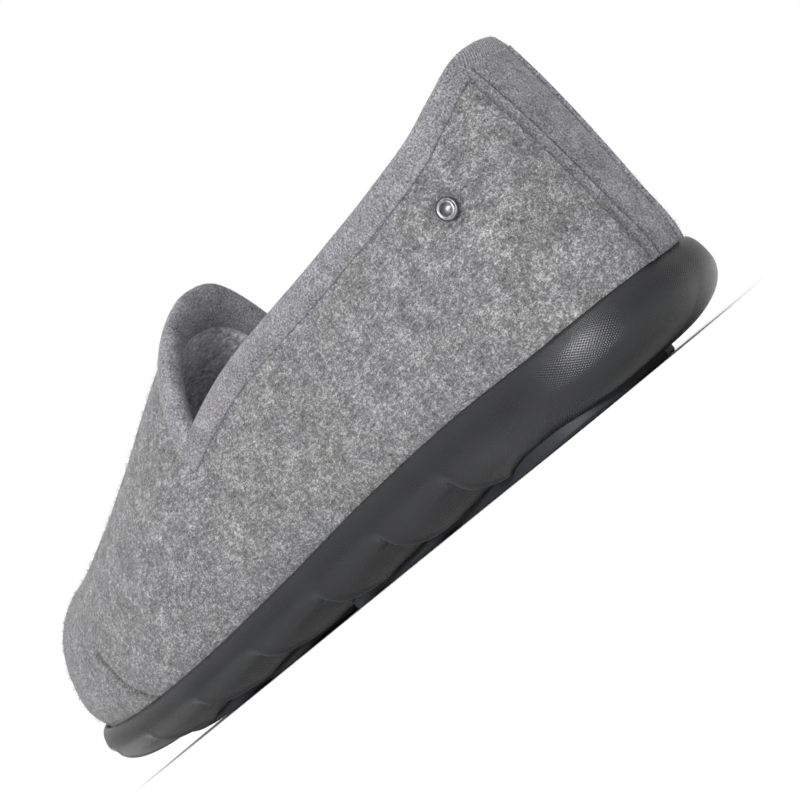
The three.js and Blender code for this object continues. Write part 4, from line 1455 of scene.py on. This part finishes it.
@dataclass
class Fuzz:
    """Short tapered fibres that stand out of a cloth piece, joined in one mesh."""

    name: str
    count: int
    shortest: float
    longest: float
    radius: float
    lean: float = 1.0
    bend: float = 0.5
    seed: int = 7

    def _roots(self, piece: bpy.types.Object, keep: Keep, rng: np.random.Generator) -> tuple:
        """Picks places on a piece, evenly by area.

        Args:
            piece: the piece to stand on.
            keep: which faces take fibres, from their centres in metres and their material slots.
            rng: the source of chance.

        Returns:
            Places and normals.
        """
        mesh = piece.data
        mesh.calc_loop_triangles()
        triangles = np.array([t.vertices for t in mesh.loop_triangles])
        slots = np.array([mesh.polygons[t.polygon_index].material_index for t in mesh.loop_triangles])
        corners = np.array([v.co for v in mesh.vertices])[triangles]
        cross = np.cross(corners[:, 1] - corners[:, 0], corners[:, 2] - corners[:, 0])
        area = np.linalg.norm(cross, axis=1)
        weight = area * keep(corners.mean(1), slots)
        chosen = rng.choice(len(weight), self.count, p=weight / weight.sum())
        a, b = rng.random(self.count), rng.random(self.count)
        a, b = np.where(a + b > 1, 1 - a, a), np.where(a + b > 1, 1 - b, b)
        c = corners[chosen]
        places = c[:, 0] + (c[:, 1] - c[:, 0]) * a[:, None] + (c[:, 2] - c[:, 0]) * b[:, None]
        return places, cross[chosen] / np.maximum(area[chosen], 1e-12)[:, None]

    def build(
        self, piece: bpy.types.Object, material: bpy.types.Material, slot: str, keep: Keep
    ) -> bpy.types.Object:
        """Grows the fibres on a piece.

        Args:
            piece: the piece to stand on.
            material: the fibres' material.
            slot: not used.
            keep: which faces take fibres, from their centres in metres and their material slots.

        Returns:
            The fibres.
        """
        rng = np.random.default_rng(self.seed)
        root, normal = self._roots(piece, keep, rng)
        unit = lambda v: v / np.linalg.norm(v, axis=1)[:, None]
        side = unit(np.cross(normal, rng.normal(size=root.shape)))
        way = unit(normal + side * self.lean * rng.uniform(0.4, 1.6, (self.count, 1)))
        tip_way = unit(way + rng.normal(size=root.shape) * self.bend)
        reach = rng.uniform(self.shortest, self.longest, (self.count, 1)) * MM
        root = root - normal * 0.1 * MM
        middle = root + way * reach * 0.5
        tip = middle + tip_way * reach * 0.5
        across = unit(np.cross(way, normal + 1e-3))
        over = np.cross(way, across)
        rings = []
        for centre, radius in ((root, self.radius), (middle, self.radius * 0.8)):
            for turn in (0.0, 2 * math.pi / 3, 4 * math.pi / 3):
                rings.append(centre + (across * math.cos(turn) + over * math.sin(turn)) * radius * MM)
        verts = np.stack([*rings, tip], 1).reshape(-1, 3)
        pattern = [(2, 1, 0), (0, 1, 4, 3), (1, 2, 5, 4), (2, 0, 3, 5), (3, 4, 6), (4, 5, 6), (5, 3, 6)]
        faces = [tuple(7 * i + k for k in face) for i in range(self.count) for face in pattern]
        mesh = bpy.data.meshes.new(self.name)
        mesh.from_pydata(verts.tolist(), [], faces)
        mesh.shade_smooth()
        mesh.materials.append(material)
        obj = bpy.data.objects.new(self.name, mesh)
        bpy.context.scene.collection.objects.link(obj)
        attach(obj, "root")
        return obj


@dataclass
class SideStud:
    """A small plain metal rivet through the outer quarter."""

    form: FootForm
    share: float = 0.12
    height_share: float = 0.67
    radius: float = 3.1
    sides: int = 48

    def seat(self) -> tuple:
        """Where the stud sits.

        Returns:
            Its place in the form's millimetres and the direction it faces.
        """
        one = np.array([1.0])
        share = np.array([self.share])
        climb = self.form.climb_to(one, share, 0.0, self.form.back_height * self.height_share)
        point = lambda s, c: self.form.point(one, s, c, 0.0)[0]
        along = point(share + 0.01, climb) - point(share - 0.01, climb)
        up = point(share, climb + 0.01) - point(share, climb - 0.01)
        facing = np.cross(up, along)
        return point(share, climb), facing / np.linalg.norm(facing)

    def build(self, finishes: Finishes) -> bpy.types.Object:
        """Builds and dresses the stud."""
        r = self.radius
        profile = [
            (0, -4.9), (3.2, -4.9), (3.4, -4.7), (3.4, -4.3), (3.2, -4.1), (1.5, -4.1), (1.5, 0.35),
            (r - 0.2, 0.35), (r, 0.55), (r, 0.9), (0.93 * r, 1.25), (0.84 * r, 1.36), (0.74 * r, 1.28),
            (0.66 * r, 1.2), (0.5 * r, 1.42), (0.25 * r, 1.6), (0, 1.65),
        ]
        bm = spun(profile, self.sides, MM)
        bmesh.ops.remove_doubles(bm, verts=bm.verts, dist=1e-6)
        bmesh.ops.recalc_face_normals(bm, faces=bm.faces)
        smooth_all(bm)
        place, facing = self.seat()
        turn = Vector((0, 0, 1)).rotation_difference(Vector(facing)).to_matrix().to_4x4()
        seated = Matrix.Translation(Vector(self.form.placed(place))) @ turn
        bmesh.ops.transform(bm, matrix=seated, verts=bm.verts)
        obj = to_object("steel_stud", bm, [finishes.steel])
        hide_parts("side_stud")
        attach(obj, "root")
        return obj


@dataclass
class Studio:
    """Floor, soft light and the camera."""

    azimuth: float = 132.0
    eye_height: float = 0.005
    distance: float = 0.6
    aim: tuple = (-0.02065, 0.02293, 0.0401)
    roll: float = -39.5
    lens: float = 90.6
    horizon: float = 0.46
    zenith: float = 1.2

    def floor(self) -> None:
        """Lays a wide pale floor."""
        bm = bmesh.new()
        bmesh.ops.create_circle(bm, cap_ends=True, segments=64, radius=6.0)
        bmesh.ops.translate(bm, verts=bm.verts, vec=Vector((0, 0, -0.0002)))
        to_object("floor", bm, [StageFinish().make()])

    def light(self) -> None:
        """Surrounds the slipper with soft light."""
        world = bpy.data.worlds.new("studio")
        world.use_nodes = True
        nodes, links = world.node_tree.nodes, world.node_tree.links
        place, parts = nodes.new("ShaderNodeTexCoord"), nodes.new("ShaderNodeSeparateXYZ")
        sky, seen = nodes.new("ShaderNodeValToRGB"), nodes.new("ShaderNodeLightPath")
        back = nodes["Background"]
        plate = nodes.new("ShaderNodeBackground")
        either = nodes.new("ShaderNodeMixShader")
        levels = ((0.0, self.horizon), (0.8, self.zenith))
        for element, (height, level) in zip(sky.color_ramp.elements, levels):
            element.position = height
            element.color = (level, level, level, 1.0)
        links.new(place.outputs["Generated"], parts.inputs["Vector"])
        links.new(parts.outputs["Z"], sky.inputs["Fac"])
        links.new(sky.outputs["Color"], back.inputs["Color"])
        plate.inputs["Color"].default_value = (1.0, 1.0, 1.0, 1.0)
        links.new(seen.outputs["Is Camera Ray"], either.inputs["Fac"])
        links.new(back.outputs["Background"], either.inputs[1])
        links.new(plate.outputs["Background"], either.inputs[2])
        links.new(either.outputs["Shader"], nodes["World Output"].inputs["Surface"])
        bpy.context.scene.world = world
        for name, place, size, watts in (
            ("key", (0.4, 0.4, 1.1), (0.8, 0.8), 2.6),
            ("strip", (0.93, 0.4, 0.27), (0.42, 0.09), 9.0),
        ):
            lamp = bpy.data.lights.new(name, "AREA")
            lamp.shape = "RECTANGLE"
            lamp.size, lamp.size_y = size
            lamp.energy = watts
            obj = bpy.data.objects.new(name, lamp)
            obj.location = place
            obj.rotation_euler = (Vector((0, 0, 0.04)) - Vector(place)).to_track_quat("-Z", "Y").to_euler()
            bpy.context.scene.collection.objects.link(obj)

    def camera(self) -> None:
        """Sets the camera at the slipper's outer side, just above the floor, and rolls it."""
        data = bpy.data.cameras.new("camera")
        data.lens = self.lens
        data.sensor_width = 36.0
        data.clip_start = 0.01
        obj = bpy.data.objects.new("camera", data)
        turn = math.radians(self.azimuth)
        aim = Vector(self.aim)
        eye = Vector((math.sin(turn), -math.cos(turn), 0)) * self.distance + Vector((aim.x, aim.y, 0))
        eye.z = self.eye_height
        look = (aim - eye).to_track_quat("-Z", "Y").to_matrix().to_4x4()
        obj.matrix_world = Matrix.Translation(eye) @ look @ Matrix.Rotation(math.radians(self.roll), 4, "Z")
        bpy.context.scene.collection.objects.link(obj)
        bpy.context.scene.camera = obj
        bpy.context.scene.view_settings.view_transform = "Standard"

    def build(self) -> None:
        """Sets the whole studio."""
        self.camera()
        self.floor()
        self.light()


def frame_form() -> FootForm:
    """The foot form, carried to the frame by the inset's own place."""
    form = FootForm()
    low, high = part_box("heel_inset")
    centre = (low + high) / 2 / MM
    form.shift = Vector((centre.x, centre.y - float(form.y_at(form.inset_at)), 0.0))
    return form


def main() -> None:
    """Builds the studio, and then the slipper's pieces in order."""
    logging.basicConfig(level=logging.INFO, format="%(name)s: %(message)s")
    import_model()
    form = frame_form()
    finishes = Finishes()
    Studio().build()
    inset = HeelInset(form)
    stud = SideStud(form)
    upper = Upper(form, stud_place=stud.seat()[0]).build(finishes)
    collar = CollarBinding(form).build(finishes)
    roll = TongueBinding(form).build(finishes)
    strap = HeelStrap(form).build(finishes)
    felt_low, pile_low, stud_clear = 18.75 * MM, 40.0 * MM, 4.4 * MM
    nap = {"shortest": 0.3, "longest": 0.6, "radius": 0.03, "lean": 0.7}
    metal = form.placed(stud.seat()[0])
    anywhere = lambda centres, slots: np.ones(len(slots))
    off_stud = lambda centres: np.linalg.norm(centres - metal, axis=1) > stud_clear
    felt = lambda centres, slots: (slots == 0) * (centres[:, 2] > felt_low) * off_stud(centres)
    pile = lambda centres, slots: (slots == 1) * (centres[:, 2] > pile_low)
    pieces = [
        upper,
        collar,
        roll,
        strap,
        SoleBody(form).build(finishes, inset.seat()),
        heel_pad(form).build(finishes, inset.seat()),
        forefoot_pad(form).build(finishes),
        inset.build(finishes),
        Footbed(form).build(finishes),
        stud.build(finishes),
        Fuzz("felt_fuzz", 13500, 0.8, 2.0, 0.045, lean=1.3).build(upper, finishes.fibre, "felt", felt),
        Fuzz("lining_pile", 9000, 2.0, 3.4, 0.07, lean=0.8, seed=11).build(
            upper, finishes.pile, "fleece", pile
        ),
        Fuzz("collar_nap", 7000, seed=13, **nap).build(collar, finishes.velour, "velour", anywhere),
        Fuzz("roll_nap", 4500, seed=17, **nap).build(roll, finishes.roll, "velour_dark", anywhere),
        Fuzz("strap_nap", 3500, seed=19, **nap).build(strap, finishes.strap, "velour", anywhere),
    ]
    for piece in pieces:
        LOG.info("%s: %d faces", piece.name, len(piece.data.polygons))


if __name__ == "__main__":
    main()
